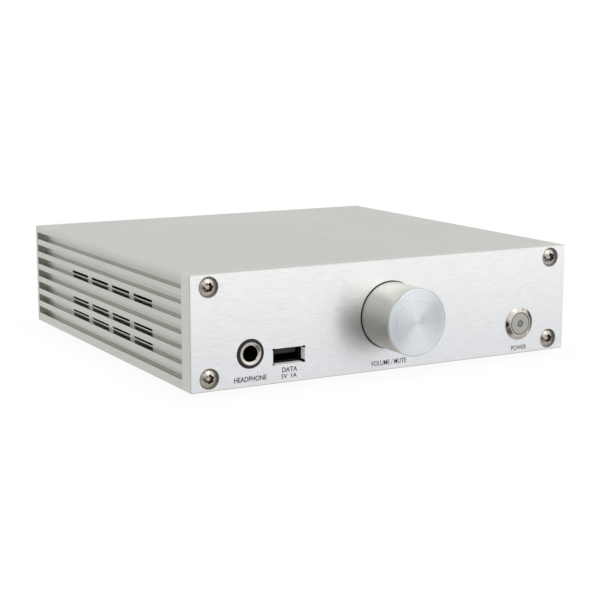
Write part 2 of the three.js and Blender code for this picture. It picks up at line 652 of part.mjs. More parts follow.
// Headphone jack, on its own axis
function jackBodyGeometry() {
  const front = -PANEL_WEB - SEAM;
  const back = front - JACK_HOUSING_LENGTH;
  const housing = brick(
    [-JACK_HOUSING_WIDTH / 2, BOARD_TOP + SEAM - JACK_HEIGHT, back],
    [JACK_HOUSING_WIDTH / 2, JACK_HOUSING_TOP, front],
  );
  const collar = rod(JACK_COLLAR_RADIUS, front - OVERRUN, JACK_COLLAR_PROUD);
  const collarBelowBoard = brick(
    [-JACK_HOUSING_WIDTH, -JACK_HEIGHT, back - OVERRUN],
    [JACK_HOUSING_WIDTH, BOARD_TOP + SEAM - JACK_HEIGHT, front],
  );
  const seatDepth = FERRULE_PROUD - FERRULE_LENGTH - CLEARANCE;
  const seat = rod(FERRULE_RADIUS + CLEARANCE, seatDepth, OVERRUN);
  const bore = rod(JACK_BORE_RADIUS, back + JACK_BORE_END_WALL, OVERRUN);
  return shaped(housing, [collar], [collarBelowBoard, seat, bore]);
}

function ferruleGeometry() {
  const back = FERRULE_PROUD - FERRULE_LENGTH;
  const tube = rod(FERRULE_RADIUS, back, FERRULE_PROUD);
  const mouth = FERRULE_BORE_RADIUS + FERRULE_LEAD_IN;
  const bore = turned([
    [0, back - OVERRUN],
    [FERRULE_BORE_RADIUS, back - OVERRUN],
    [FERRULE_BORE_RADIUS, FERRULE_PROUD - FERRULE_LEAD_IN],
    [mouth, FERRULE_PROUD],
    [mouth, FERRULE_PROUD + OVERRUN],
    [0, FERRULE_PROUD + OVERRUN],
  ]);
  return shaped(tube, [], [bore]);
}

function contactGeometry() {
  const back = -PANEL_WEB - JACK_HOUSING_LENGTH + JACK_BORE_END_WALL + CLEARANCE;
  const top = JACK_BORE_RADIUS - CLEARANCE - CONTACT_THICKNESS / 2;
  return brick(
    [-CONTACT_WIDTH / 2, top - CONTACT_THICKNESS, back],
    [CONTACT_WIDTH / 2, top, back + CONTACT_LENGTH],
  );
}

// USB socket, on its own axis
function usbShellGeometry() {
  const front = -PANEL_WEB - SEAM;
  const [halfWidth, halfHeight] = [USB_SHELL_WIDTH / 2, USB_SHELL_HEIGHT / 2];
  const back = front - USB_SHELL_LENGTH;
  const outside = brick([-halfWidth, -halfHeight, back], [halfWidth, halfHeight, front]);
  const inside = brick(
    [USB_SHELL_WALL - halfWidth, USB_SHELL_WALL - halfHeight, back - OVERRUN],
    [halfWidth - USB_SHELL_WALL, halfHeight - USB_SHELL_WALL, front + OVERRUN],
  );
  return shaped(outside, [], [inside]);
}

function usbInsulatorGeometry() {
  const front = -PANEL_WEB - SEAM;
  const back = front - USB_SHELL_LENGTH;
  const halfWidth = USB_SHELL_WIDTH / 2 - USB_SHELL_WALL - CLEARANCE;
  const halfHeight = USB_SHELL_HEIGHT / 2 - USB_SHELL_WALL - CLEARANCE;
  const block = brick([-halfWidth, -halfHeight, back], [halfWidth, halfHeight, back + USB_BLOCK_LENGTH]);
  const tongue = brick(
    [-USB_TONGUE_WIDTH / 2, USB_TONGUE_RISE - USB_TONGUE_THICKNESS / 2, back + USB_BLOCK_LENGTH / 2],
    [USB_TONGUE_WIDTH / 2, USB_TONGUE_RISE + USB_TONGUE_THICKNESS / 2, front - USB_TONGUE_RECESS],
  );
  return shaped(block, [tongue], []);
}

// Volume encoder, mute plunger and knob, on the knob's axis
function encoderBodyGeometry() {
  const front = -ENCODER_WEB - SEAM;
  const half = ENCODER_SIZE / 2;
  const box = brick([-half, -half, ENCODER_BACK], [half, half, front]);
  const bushing = rod(BUSHING_RADIUS, front - OVERRUN, BUSHING_PROUD);
  const bore = rod(SHAFT_RADIUS + CLEARANCE, ENCODER_BACK - OVERRUN, BUSHING_PROUD + OVERRUN);
  const cavityFront = ENCODER_BACK + PLUNGER_CAVITY_DEPTH;
  const cavity = rod(PLUNGER_CAVITY_RADIUS, ENCODER_BACK - OVERRUN, cavityFront);
  return shaped(box, [bushing], [bore, cavity]);
}

function encoderNutGeometry() {
  const nut = hexagon(ENCODER_NUT_ACROSS_FLATS, SEAM, SEAM + ENCODER_NUT_THICKNESS);
  return shaped(nut, [], [rod(BUSHING_RADIUS + CLEARANCE, -OVERRUN, BUSHING_PROUD + OVERRUN)]);
}

function shaftGeometry() {
  const flangeFront = ENCODER_BACK + PLUNGER_CAVITY_DEPTH - CLEARANCE;
  const flangeBack = flangeFront - SHAFT_FLANGE_THICKNESS;
  return turned([
    [0, flangeBack],
    [SHAFT_FLANGE_RADIUS, flangeBack],
    [SHAFT_FLANGE_RADIUS, flangeFront],
    [SHAFT_RADIUS, flangeFront],
    [SHAFT_RADIUS, SHAFT_REACH],
    [0, SHAFT_REACH],
  ]);
}

function plungerGeometry() {
  const flangeBack = ENCODER_BACK + PLUNGER_CAVITY_DEPTH - CLEARANCE - SHAFT_FLANGE_THICKNESS;
  const front = flangeBack - CLEARANCE;
  const back = front - PLUNGER_THICKNESS;
  return turned([
    [0, back - PLUNGER_NIB_LENGTH],
    [PLUNGER_NIB_RADIUS, back - PLUNGER_NIB_LENGTH],
    [PLUNGER_NIB_RADIUS, back],
    [PLUNGER_RADIUS, back],
    [PLUNGER_RADIUS, front],
    [0, front],
  ]);
}

function domeGeometry() {
  return rod(DOME_RADIUS, ENCODER_BACK, ENCODER_BACK + DOME_THICKNESS, SMALL_SIDES);
}

function knobGeometry() {
  const recessTop = KNOB_RECESS_DEPTH - KNOB_SINK;
  const blank = turned([
    [0, -KNOB_SINK],
    [KNOB_RADIUS - KNOB_CHAMFER, -KNOB_SINK],
    [KNOB_RADIUS, KNOB_CHAMFER - KNOB_SINK],
    [KNOB_RADIUS, KNOB_REACH - KNOB_CHAMFER],
    [KNOB_RADIUS - KNOB_CHAMFER, KNOB_REACH],
    [0, KNOB_REACH],
  ], FINE_SIDES);
  const recess = rod(KNOB_RECESS_RADIUS, -KNOB_SINK - OVERRUN, recessTop);
  const bore = rod(SHAFT_RADIUS + CLEARANCE, 0, SHAFT_REACH + KNOB_BORE_END);
  const screwHole = rod(SET_SCREW_RADIUS + CLEARANCE, 0, KNOB_RADIUS + OVERRUN, SMALL_SIDES)
    .rotateX(QUARTER_TURN).translate(0, 0, SET_SCREW_HEIGHT);
  return shaped(blank, [], [recess, bore, screwHole]);
}

// A headless screw pointing along -Y, with its tip at the shaft
function setScrewGeometry() {
  const tip = SHAFT_RADIUS + CLEARANCE;
  const end = tip + SET_SCREW_LENGTH;
  const recess = hexagon(2 * SET_SCREW_RECESS_RADIUS, end - SET_SCREW_RECESS_DEPTH, end + OVERRUN);
  return shaped(rod(SET_SCREW_RADIUS, tip, end, SMALL_SIDES), [], [recess])
    .rotateX(QUARTER_TURN).translate(0, 0, SET_SCREW_HEIGHT);
}

// Power button, on its own axis
function bezelGeometry() {
  const blank = turned([
    [0, -BARREL_LENGTH],
    [BARREL_RADIUS, -BARREL_LENGTH],
    [BARREL_RADIUS, SEAM],
    [BEZEL_RADIUS, SEAM],
    [BEZEL_RADIUS, BEZEL_RIM_HEIGHT],
    [BEZEL_LIP_RADIUS, BEZEL_PROUD],
    [0, BEZEL_PROUD],
  ], FINE_SIDES);
  const bore = rod(CAP_BORE_RADIUS, BARREL_FLOOR_FACE, BEZEL_PROUD + OVERRUN, FINE_SIDES);
  const stemHole = rod(CAP_STEM_RADIUS + CLEARANCE, -BARREL_LENGTH - OVERRUN, 0);
  const mark = brick(
    [BEZEL_MARK_RADIUS - BEZEL_MARK_LENGTH / 2, -BEZEL_MARK_WIDTH / 2, BEZEL_PROUD - BEZEL_MARK_DEPTH],
    [BEZEL_MARK_RADIUS + BEZEL_MARK_LENGTH / 2, BEZEL_MARK_WIDTH / 2, BEZEL_PROUD + OVERRUN],
  ).rotateZ(BEZEL_MARK_ANGLE);
  return shaped(blank, [], [bore, stemHole, mark]);
}

function powerNutGeometry() {
  const front = -FRONT_PLATE - SEAM;
  const nut = hexagon(POWER_NUT_ACROSS_FLATS, front - POWER_NUT_THICKNESS, front);
  return shaped(nut, [], [rod(BARREL_RADIUS + CLEARANCE, front - POWER_NUT_THICKNESS - OVERRUN, 0)]);
}

function capGeometry() {
  const blank = turned([
    [0, CAP_BACK - CAP_STEM_LENGTH],
    [CAP_STEM_RADIUS, CAP_BACK - CAP_STEM_LENGTH],
    [CAP_STEM_RADIUS, CAP_BACK],
    [CAP_RADIUS, CAP_BACK],
    [CAP_RADIUS, CAP_PROUD - CAP_EDGE],
    [CAP_RADIUS - CAP_EDGE, CAP_PROUD],
    [0, CAP_PROUD],
  ], FINE_SIDES);
  const socketFloor = CAP_PROUD - LENS_RECESS - LENS_LENGTH - SEAM;
  return shaped(blank, [], [rod(LENS_RADIUS + CLEARANCE, socketFloor, CAP_PROUD + OVERRUN)]);
}

function lensGeometry() {
  const face = CAP_PROUD - LENS_RECESS;
  return rod(LENS_RADIUS, face - LENS_LENGTH, face, SMALL_SIDES);
}

class Helix extends THREE.Curve {
  getPoint(share) {
    const rear = BARREL_FLOOR_FACE + SPRING_END_GAP + SPRING_WIRE_RADIUS;
    const front = CAP_BACK - SPRING_END_GAP - SPRING_WIRE_RADIUS;
    const angle = share * SPRING_TURNS * 2 * Math.PI;
    return new THREE.Vector3(
      SPRING_RADIUS * Math.cos(angle),
      SPRING_RADIUS * Math.sin(angle),
      rear + share * (front - rear),
    );
  }
}

function springGeometry() {
  const section = new THREE.Shape();
  for (let side = 0; side < SPRING_SIDES; side += 1) {
    const angle = (side * 2 * Math.PI) / SPRING_SIDES;
    section.lineTo(SPRING_WIRE_RADIUS * Math.cos(angle), SPRING_WIRE_RADIUS * Math.sin(angle));
  }
  const steps = SPRING_TURNS * SPRING_STEPS_PER_TURN;
  return new THREE.ExtrudeGeometry(section, { steps, extrudePath: new Helix() });
}

function switchBaseGeometry() {
  const front = -BARREL_LENGTH - CLEARANCE;
  const body = rod(SWITCH_BASE_RADIUS, front - SWITCH_BASE_LENGTH, front);
  const socket = rod(CAP_STEM_RADIUS + POCKET_CLEARANCE, front - SWITCH_BASE_SOCKET_DEPTH, 0);
  return shaped(body, [], [socket]);
}

// Rear sockets, in the rear face's frame
function dcInletGeometry() {
  const body = brick(
    [-DC_WIDTH / 2, -DC_NOSE_RISE, PLATE_BACK - DC_LENGTH],
    [DC_WIDTH / 2, DC_HEIGHT - DC_NOSE_RISE, PLATE_BACK],
  );
  const nose = rod(DC_NOSE_RADIUS, PLATE_BACK - OVERRUN, DC_NOSE_PROUD);
  const bore = rod(DC_BORE_RADIUS, DC_NOSE_PROUD - DC_BORE_DEPTH, DC_NOSE_PROUD + OVERRUN);
  return shaped(body, [nose], [bore]);
}

function dcPinGeometry() {
  const root = DC_NOSE_PROUD - DC_BORE_DEPTH + SEAM;
  return rod(DC_PIN_RADIUS, root, DC_NOSE_PROUD - DC_PIN_RECESS, SMALL_SIDES);
}

function usbBMouth(width, height) {
  const [right, top] = [width / 2, height / 2];
  const corner = USB_B_MOUTH_CORNER;
  const shape = new THREE.Shape();
  shape.moveTo(-right, -top);
  shape.lineTo(right, -top);
  shape.lineTo(right, top - corner);
  shape.lineTo(right - corner, top);
  shape.lineTo(corner - right, top);
  shape.lineTo(-right, top - corner);
  return shape;
}

function usbBShellGeometry() {
  const [halfWidth, halfHeight] = [USB_B_WIDTH / 2, USB_B_HEIGHT / 2];
  const body = brick(
    [-halfWidth, -halfHeight, USB_B_PROUD - USB_B_LENGTH],
    [halfWidth, halfHeight, USB_B_PROUD],
  );
  const mouth = usbBMouth(USB_B_MOUTH_WIDTH, USB_B_MOUTH_HEIGHT);
  const hollow = extruded(mouth, USB_B_PROUD - USB_B_MOUTH_DEPTH, USB_B_PROUD + OVERRUN);
  return shaped(body, [], [hollow]);
}

function usbBTongueGeometry() {
  return brick(
    [-USB_B_TONGUE_WIDTH / 2, -USB_B_TONGUE_HEIGHT / 2, USB_B_PROUD - USB_B_MOUTH_DEPTH + SEAM],
    [USB_B_TONGUE_WIDTH / 2, USB_B_TONGUE_HEIGHT / 2, USB_B_PROUD - USB_B_TONGUE_RECESS],
  );
}

function lineBlockGeometry() {
  const low = BOARD_TOP + SEAM;
  const front = PLATE_BACK - LINE_FLANGE_THICKNESS - SEAM;
  return brick(
    [-LINE_BLOCK_X - LINE_BLOCK_WIDTH / 2, low, front - LINE_BLOCK_LENGTH],
    [-LINE_BLOCK_X + LINE_BLOCK_WIDTH / 2, low + LINE_BLOCK_HEIGHT, front],
  );
}

function lineSocketGeometry() {
  const flangeBack = PLATE_BACK - LINE_FLANGE_THICKNESS;
  const inner = LINE_SHELL_RADIUS - LINE_SHELL_WALL;
  const blank = turned([
    [0, flangeBack],
    [LINE_FLANGE_RADIUS, flangeBack],
    [LINE_FLANGE_RADIUS, PLATE_BACK],
    [LINE_SHELL_RADIUS, PLATE_BACK],
    [LINE_SHELL_RADIUS, LINE_REACH],
    [inner, LINE_REACH],
    [inner, LINE_REACH - LINE_FACE_RECESS],
    [0, LINE_REACH - LINE_FACE_RECESS],
  ]);
  const bore = rod(LINE_BORE_RADIUS, LINE_REACH - LINE_BORE_DEPTH, LINE_REACH + OVERRUN, SMALL_SIDES);
  return shaped(blank, [], [bore]);
}

// Larger parts that stand on the main board
function capacitorGeometry() {
  return turned([
    [0, 0],
    [CAPACITOR_RADIUS, 0],
    [CAPACITOR_RADIUS, CAPACITOR_RIM_HEIGHT],
    [CAPACITOR_NECK_RADIUS, CAPACITOR_NECK_HEIGHT],
    [CAPACITOR_RADIUS, CAPACITOR_SHOULDER_HEIGHT],
    [CAPACITOR_RADIUS, CAPACITOR_HEIGHT],
    [0, CAPACITOR_HEIGHT],
  ]);
}

function heatSinkGeometry() {
  const half = HEAT_SINK_WIDTH / 2;
  const pitch = (HEAT_SINK_WIDTH - HEAT_SINK_FIN_THICKNESS) / (HEAT_SINK_FINS - 1);
  const comb = new THREE.Shape();
  comb.moveTo(-half, 0);
  comb.lineTo(half, 0);
  for (let fin = HEAT_SINK_FINS - 1; fin >= 0; fin -= 1) {
    const left = -half + fin * pitch;
    const right = left + HEAT_SINK_FIN_THICKNESS;
    if (fin < HEAT_SINK_FINS - 1) comb.lineTo(right, HEAT_SINK_BASE);
    comb.lineTo(right, HEAT_SINK_HEIGHT);
    comb.lineTo(left, HEAT_SINK_HEIGHT);
    if (fin > 0) comb.lineTo(left, HEAT_SINK_BASE);
  }
  return lengthways(comb, -HEAT_SINK_LENGTH / 2, HEAT_SINK_LENGTH / 2);
}

// The assembly
function addPiece(group, name, geometry, material, x = 0, y = 0, z = 0) {
  const piece = new THREE.Mesh(geometry, material);
  piece.name = name;
  piece.position.set(x, y, z);
  group.add(piece);
  return piece;
}

function addCase(group) {
  addPiece(group, 'case_sleeve', sleeveGeometry(), SATIN_ALUMINIUM);
  const screw = screwGeometry(
    FOOT_SCREW_HEAD_RADIUS,
    FOOT_SCREW_HEAD_HEIGHT,
    FOOT_SCREW_SHANK_RADIUS,
    FOOT_SCREW_LENGTH,
    FOOT_SCREW_RECESS_RADIUS,
    FOOT_SCREW_RECESS_DEPTH,
  );
  const seat = FOOT_HEIGHT - FOOT_COUNTERBORE_DEPTH + SEAM;
  FOOT_PLACES.forEach(([x, y], corner) => {
    const foot = addPiece(group, `foot_${FOOT_NAMES[corner]}`, footGeometry(), RUBBER, x, y, -SEAM);
    foot.rotation.x = Math.PI;
    const name = `foot_screw_${FOOT_NAMES[corner]}`;
    addPiece(group, name, screw, ZINC_STEEL, x, y, -SEAM - seat).rotation.x = Math.PI;
  });
}

function addCornerScrews(group, place, seat) {
  const screw = screwGeometry(
    SCREW_HEAD_RADIUS,
    SCREW_HEAD_HEIGHT,
    SCREW_SHANK_RADIUS,
    SCREW_LENGTH,
    SCREW_RECESS_RADIUS,
    SCREW_RECESS_DEPTH,
  );
  CORNERS.forEach(([side, row], corner) => {
    const name = `${place}_screw_${CORNER_NAMES[corner]}`;
    addPiece(group, name, screw, POLISHED_STEEL, side * SCREW_COLUMN_X, SCREW_ROWS[row], seat);
  });
}

function addFront(front) {
  addPiece(front, 'front_plate', frontPlateGeometry(), BRUSHED_ALUMINIUM);
  addCornerScrews(front, 'front', SEAM - COUNTERBORE_DEPTH);
  addPiece(front, 'front_board', frontBoardGeometry(), BOARD_GREEN);
  addPiece(front, 'board_connector', connectorGeometry(), BLACK_PLASTIC);

  addPiece(front, 'jack_body', jackBodyGeometry(), BLACK_PLASTIC, JACK_X, JACK_HEIGHT);
  addPiece(front, 'jack_ferrule', ferruleGeometry(), POLISHED_STEEL, JACK_X, JACK_HEIGHT);
  addPiece(front, 'jack_contact', contactGeometry(), BRASS, JACK_X, JACK_HEIGHT);
  addPiece(front, 'usb_shell', usbShellGeometry(), DARK_METAL, USB_X, USB_HEIGHT);
  addPiece(front, 'usb_insulator', usbInsulatorGeometry(), BLACK_PLASTIC, USB_X, USB_HEIGHT);

  addPiece(front, 'encoder_body', encoderBodyGeometry(), ZINC_STEEL, 0, HALF_HEIGHT);
  addPiece(front, 'encoder_nut', encoderNutGeometry(), ZINC_STEEL, 0, HALF_HEIGHT);
  addPiece(front, 'encoder_shaft', shaftGeometry(), ZINC_STEEL, 0, HALF_HEIGHT);
  addPiece(front, 'mute_plunger', plungerGeometry(), BLACK_PLASTIC, 0, HALF_HEIGHT);
  addPiece(front, 'mute_dome', domeGeometry(), POLISHED_STEEL, 0, HALF_HEIGHT);
  addPiece(front, 'knob', knobGeometry(), TURNED_ALUMINIUM, 0, HALF_HEIGHT);
  addPiece(front, 'knob_set_screw', setScrewGeometry(), DARK_METAL, 0, HALF_HEIGHT);

  addPiece(front, 'power_bezel', bezelGeometry(), POLISHED_STEEL, POWER_X, POWER_HEIGHT);
  addPiece(front, 'power_nut', powerNutGeometry(), ZINC_STEEL, POWER_X, POWER_HEIGHT);
  addPiece(front, 'power_cap', capGeometry(), ZINC_STEEL, POWER_X, POWER_HEIGHT);
  addPiece(front, 'power_lens', lensGeometry(), LENS_GREY, POWER_X, POWER_HEIGHT);
  addPiece(front, 'power_spring', springGeometry(), ZINC_STEEL, POWER_X, POWER_HEIGHT);
  addPiece(front, 'power_switch', switchBaseGeometry(), BLACK_PLASTIC, POWER_X, POWER_HEIGHT);
}

function addRear(rear) {
  addPiece(rear, 'rear_plate', rearPlateGeometry(), SATIN_ALUMINIUM);
  addCornerScrews(rear, 'rear', SEAM);
  const dcHeight = DC_RISE + DC_NOSE_RISE;
  addPiece(rear, 'dc_inlet', dcInletGeometry(), BLACK_PLASTIC, -DC_X, dcHeight);
  addPiece(rear, 'dc_pin', dcPinGeometry(), POLISHED_STEEL, -DC_X, dcHeight);
  const usbHeight = BOARD_TOP + CLEARANCE + USB_B_HEIGHT / 2;
  addPiece(rear, 'usb_b_shell', usbBShellGeometry(), ZINC_STEEL, -USB_B_X, usbHeight);
  addPiece(rear, 'usb_b_tongue', usbBTongueGeometry(), BLACK_PLASTIC, -USB_B_X, usbHeight);
  addPiece(rear, 'line_block', lineBlockGeometry(), BLACK_PLASTIC);
  const socketNames = [['line_in_right', 'line_in_left'], ['line_out_right', 'line_out_left']];
  LINE_COLUMNS.forEach((column, across) => {
    LINE_ROWS.forEach((row, up) => {
      addPiece(rear, socketNames[across][up], lineSocketGeometry(), BRASS, -column, row);
    });
  });
}

function addBoardParts(group) {
  addPiece(group, 'main_board', mainBoardGeometry(), BOARD_GREEN);
  const screw = screwGeometry(
    BOARD_SCREW_HEAD_RADIUS,
    BOARD_SCREW_HEAD_HEIGHT,
    BOARD_SCREW_SHANK_RADIUS,
    BOARD_SCREW_LENGTH,
    BOARD_SCREW_RECESS_RADIUS,
    BOARD_SCREW_RECESS_DEPTH,
  );
  const seat = BOARD_TOP + SEAM;
  BOARD_SCREW_PLACES.forEach(([x, y], corner) => {
    addPiece(group, `board_screw_${FOOT_NAMES[corner]}`, screw, ZINC_STEEL, x, y, seat);
  });
  CORNERS.forEach(([side, row], corner) => {
    const x = CAPACITOR_X + (side * CAPACITOR_PITCH) / 2;
    const y = CAPACITOR_Y + (row - 1 / 2) * CAPACITOR_PITCH;
    addPiece(group, `capacitor_${corner + 1}`, capacitorGeometry(), CAPACITOR_SLEEVE, x, y, seat);
  });
  addPiece(group, 'heat_sink', heatSinkGeometry(), DARK_METAL, HEAT_SINK_X, HEAT_SINK_Y, seat);
  const chipX = HEAT_SINK_X - HEAT_SINK_WIDTH / 2 - CHIP_THICKNESS - CLEARANCE;
  const chip = brick([0, -CHIP_WIDTH / 2, 0], [CHIP_THICKNESS, CHIP_WIDTH / 2, CHIP_HEIGHT]);
  addPiece(group, 'amplifier_chip', chip, BLACK_PLASTIC, chipX, HEAT_SINK_Y, seat);
  const relay = brick([0, 0, 0], [RELAY_WIDTH, RELAY_LENGTH, RELAY_HEIGHT]);
  addPiece(group, 'mute_relay', relay, BLACK_PLASTIC, RELAY_X, RELAY_Y, seat);
}

const amplifier = new THREE.Group();
amplifier.position.set(0, (KNOB_REACH - LINE_REACH) / 2, FOOT_HEIGHT + SEAM);
const frontGroup = new THREE.Group();
frontGroup.position.y = FRONT_Y;
frontGroup.rotation.x = QUARTER_TURN;
const rearGroup = new THREE.Group();
rearGroup.position.y = REAR_Y;
rearGroup.rotation.set(QUARTER_TURN, Math.PI, 0);
addCase(amplifier);
addFront(frontGroup);
addRear(rearGroup);
addBoardParts(amplifier);
amplifier.add(frontGroup, rearGroup);

export default amplifier;
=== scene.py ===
"""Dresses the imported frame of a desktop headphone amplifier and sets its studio."""
import math

import bmesh
import bpy
from mathutils import Matrix, Vector


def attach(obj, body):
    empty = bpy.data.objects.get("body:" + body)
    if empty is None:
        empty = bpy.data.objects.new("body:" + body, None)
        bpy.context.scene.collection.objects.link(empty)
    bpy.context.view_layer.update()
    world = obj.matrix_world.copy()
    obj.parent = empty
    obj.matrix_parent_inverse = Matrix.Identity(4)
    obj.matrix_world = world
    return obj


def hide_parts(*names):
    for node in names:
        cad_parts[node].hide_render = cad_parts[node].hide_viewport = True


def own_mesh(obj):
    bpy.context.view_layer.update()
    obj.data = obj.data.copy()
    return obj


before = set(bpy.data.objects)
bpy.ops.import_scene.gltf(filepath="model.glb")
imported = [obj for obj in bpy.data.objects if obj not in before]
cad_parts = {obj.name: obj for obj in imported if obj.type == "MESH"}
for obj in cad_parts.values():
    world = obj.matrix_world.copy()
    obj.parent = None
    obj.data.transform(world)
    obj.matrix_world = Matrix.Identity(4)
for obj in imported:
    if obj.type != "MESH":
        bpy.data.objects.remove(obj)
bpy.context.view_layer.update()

# Sizes are in millimetres until a piece is placed
MM = 0.001
TINY = 1e-6

# Case
CASE_WIDTH, CASE_HEIGHT = 196, 50
CASE_LOW = 3.05
FACE_Y, REAR_Y = -88.5, 101.5
CASE_DEPTH = REAR_Y - FACE_Y
FRONT_PLATE, REAR_PLATE = 8.5, 2.5
CORNER_RADIUS = 0.7
FACE_CHAMFER = 0.35
SEAM = 0.05
OVERRUN = 2
SCREW_X = 89.3
SCREW_HEIGHTS = (5.5, 44.5)
SCREW_BORE, COUNTERBORE_RADIUS, COUNTERBORE_DEPTH = 2.1, 4.55, 1.6
CORNERS = ("lower_left", "lower_right", "upper_left", "upper_right")
ENDS = ("front_left", "front_right", "rear_left", "rear_right")

# Sleeve
WALL = 2.5
GROOVES = 7
GROOVE_HEIGHT, GROOVE_DEPTH, GROOVE_WEB = 3.4, 4.1, 1.8
TOP_RIDGE, BOTTOM_RIDGE = 3.3, 4.4
GROOVE_PITCH = (CASE_HEIGHT - TOP_RIDGE - BOTTOM_RIDGE - GROOVE_HEIGHT) / (GROOVES - 1)
RIDGE_EDGE, GROOVE_FILLET = 0.3, 0.35
VENTED_GROOVES = (2, 4, 5)
VENTS, VENT_PITCH, VENT_LENGTH, VENT_HEIGHT, VENT_SILL, VENT_CORNER = 4, 26, 21, 2.6, 0.45, 0.6
BOSS_RADIUS = 4
BOARD_RIB_X, BOARD_RIB_WIDTH, BOARD_UNDERSIDE, BOARD_TOP = 54.1, 8, 7.05, 8.65
BOARD_SCREW_Y = (-46.3, 78)
CAPACITOR_HEIGHT = 20

# Places on the face, from the middle and the lower edge of the case
JACK_X, JACK_HEIGHT = -70, 14.4
USB_X, USB_HEIGHT = -51.3, 11.75
WINDOW_WIDTH, WINDOW_HEIGHT = 15.4, 6.9
RELIEF_X, RELIEF_RISE, RELIEF_RADIUS = 7.35, 3.1, 0.65
POWER_X, POWER_HEIGHT = 71.8, 14.3
KNOB_HEIGHT = 25
KNOB_RADIUS, KNOB_REACH, KNOB_SINK = 15, 22, 1
WELL_RADIUS, LAND_RADIUS, WELL_DEPTH = 15.38, 9.3, 1.9
PANEL_WEB = 3.3

# Power button
BEZEL_PROUD, CAP_PROUD = 1.2, 1.25
SPRING_RADIUS, WIRE_RADIUS, SPRING_TURNS = 3.6, 0.35, 4
SPRING_BACK, SPRING_FRONT = -12.3, -3.75

# Places on the rear plate
DC_X, DC_HEIGHT = 60, 15.15
USB_B_X, USB_B_HEIGHT = 18, 14.15
LINE_COLUMNS, LINE_ROWS = (-48, -30), (15.85, 30.35)

# Feet
FOOT_X, FOOT_Y = 74, 71
FOOT_RADIUS, FOOT_TIP_RADIUS, FOOT_HEIGHT = 6.5, 6, 3

# The camera, fitted to the edges of the case
PHOTO_PIXELS, SENSOR = 600, 36
FOCAL_PIXELS = 1467.76
CAMERA_PLACE = Vector((-347.93, -630.38, 148.28))
CAMERA_YAW, CAMERA_PITCH, CAMERA_ROLL = -0.50843, 0.17506, 0.00087


# Camera
def aim_camera():
    camera = bpy.data.objects.new("camera", bpy.data.cameras.new("camera"))
    bpy.context.scene.collection.objects.link(camera)
    yaw, pitch = CAMERA_YAW, CAMERA_PITCH
    right = Vector((math.cos(yaw), math.sin(yaw), 0))
    forward = Vector((-math.sin(yaw) * math.cos(pitch), math.cos(yaw) * math.cos(pitch), -math.sin(pitch)))
    turn = Matrix((right, right.cross(forward), -forward)).transposed()
    turn = turn @ Matrix.Rotation(CAMERA_ROLL, 3, "Z")
    camera.matrix_world = Matrix.Translation(CAMERA_PLACE * MM) @ turn.to_4x4()
    camera.data.sensor_width = SENSOR
    camera.data.lens = FOCAL_PIXELS * SENSOR / PHOTO_PIXELS
    bpy.context.scene.camera = camera


# Nodes
class Output:
    """A node's output, which sums and products can use."""

    def __init__(self, nodes, socket):
        self.nodes = nodes
        self.socket = socket

    def other(self, name):
        """Another output of the same node."""
        return Output(self.nodes, self.socket.node.outputs[name])

    def math(self, operation, *others):
        return self.nodes.node("ShaderNodeMath", {"operation": operation}, dict(enumerate((self, *others))))

    def __add__(self, other):
        return self.math("ADD", other)

    def __sub__(self, other):
        return self.math("SUBTRACT", other)

    def __rsub__(self, other):
        return self.nodes.node("ShaderNodeMath", {"operation": "SUBTRACT"}, {0: other, 1: self})

    def __mul__(self, other):
        return self.math("MULTIPLY", other)

    def __truediv__(self, other):
        return self.math("DIVIDE", other)

    def __pow__(self, other):
        return self.math("POWER", other)

    __radd__ = __add__
    __rmul__ = __mul__


def hypot(across, up):
    """The length of two values at right angles."""
    return (across * across + up * up) ** 0.5


class Nodes:
    """A node tree whose nodes all come from one method."""

    def __init__(self, tree):
        self.tree = tree

    def node(self, kind, settings=None, sockets=None, output=0):
        """Adds a node, first its settings and then its sockets' values or links, and returns an output."""
        made = self.tree.nodes.new(kind)
        for name, value in (settings or {}).items():
            setattr(made, name, value)
        for name, value in (sockets or {}).items():
            self.feed(made.inputs[name], value)
        return Output(self, made.outputs[output]) if made.outputs else None

    def feed(self, socket, value):
        if isinstance(value, Output):
            self.tree.links.new(value.socket, socket)
        else:
            socket.default_value = value

    def parts(self, vector):
        split = self.node("ShaderNodeSeparateXYZ", None, {0: vector})
        return [split.other(axis) for axis in "XYZ"]

    def between(self, value, low, high, start=0, end=1):
        """Maps a value's range onto another, with smooth ends."""
        settings = {"interpolation_type": "SMOOTHSTEP"}
        return self.node("ShaderNodeMapRange", settings, {0: value, 1: low, 2: high, 3: start, 4: end})


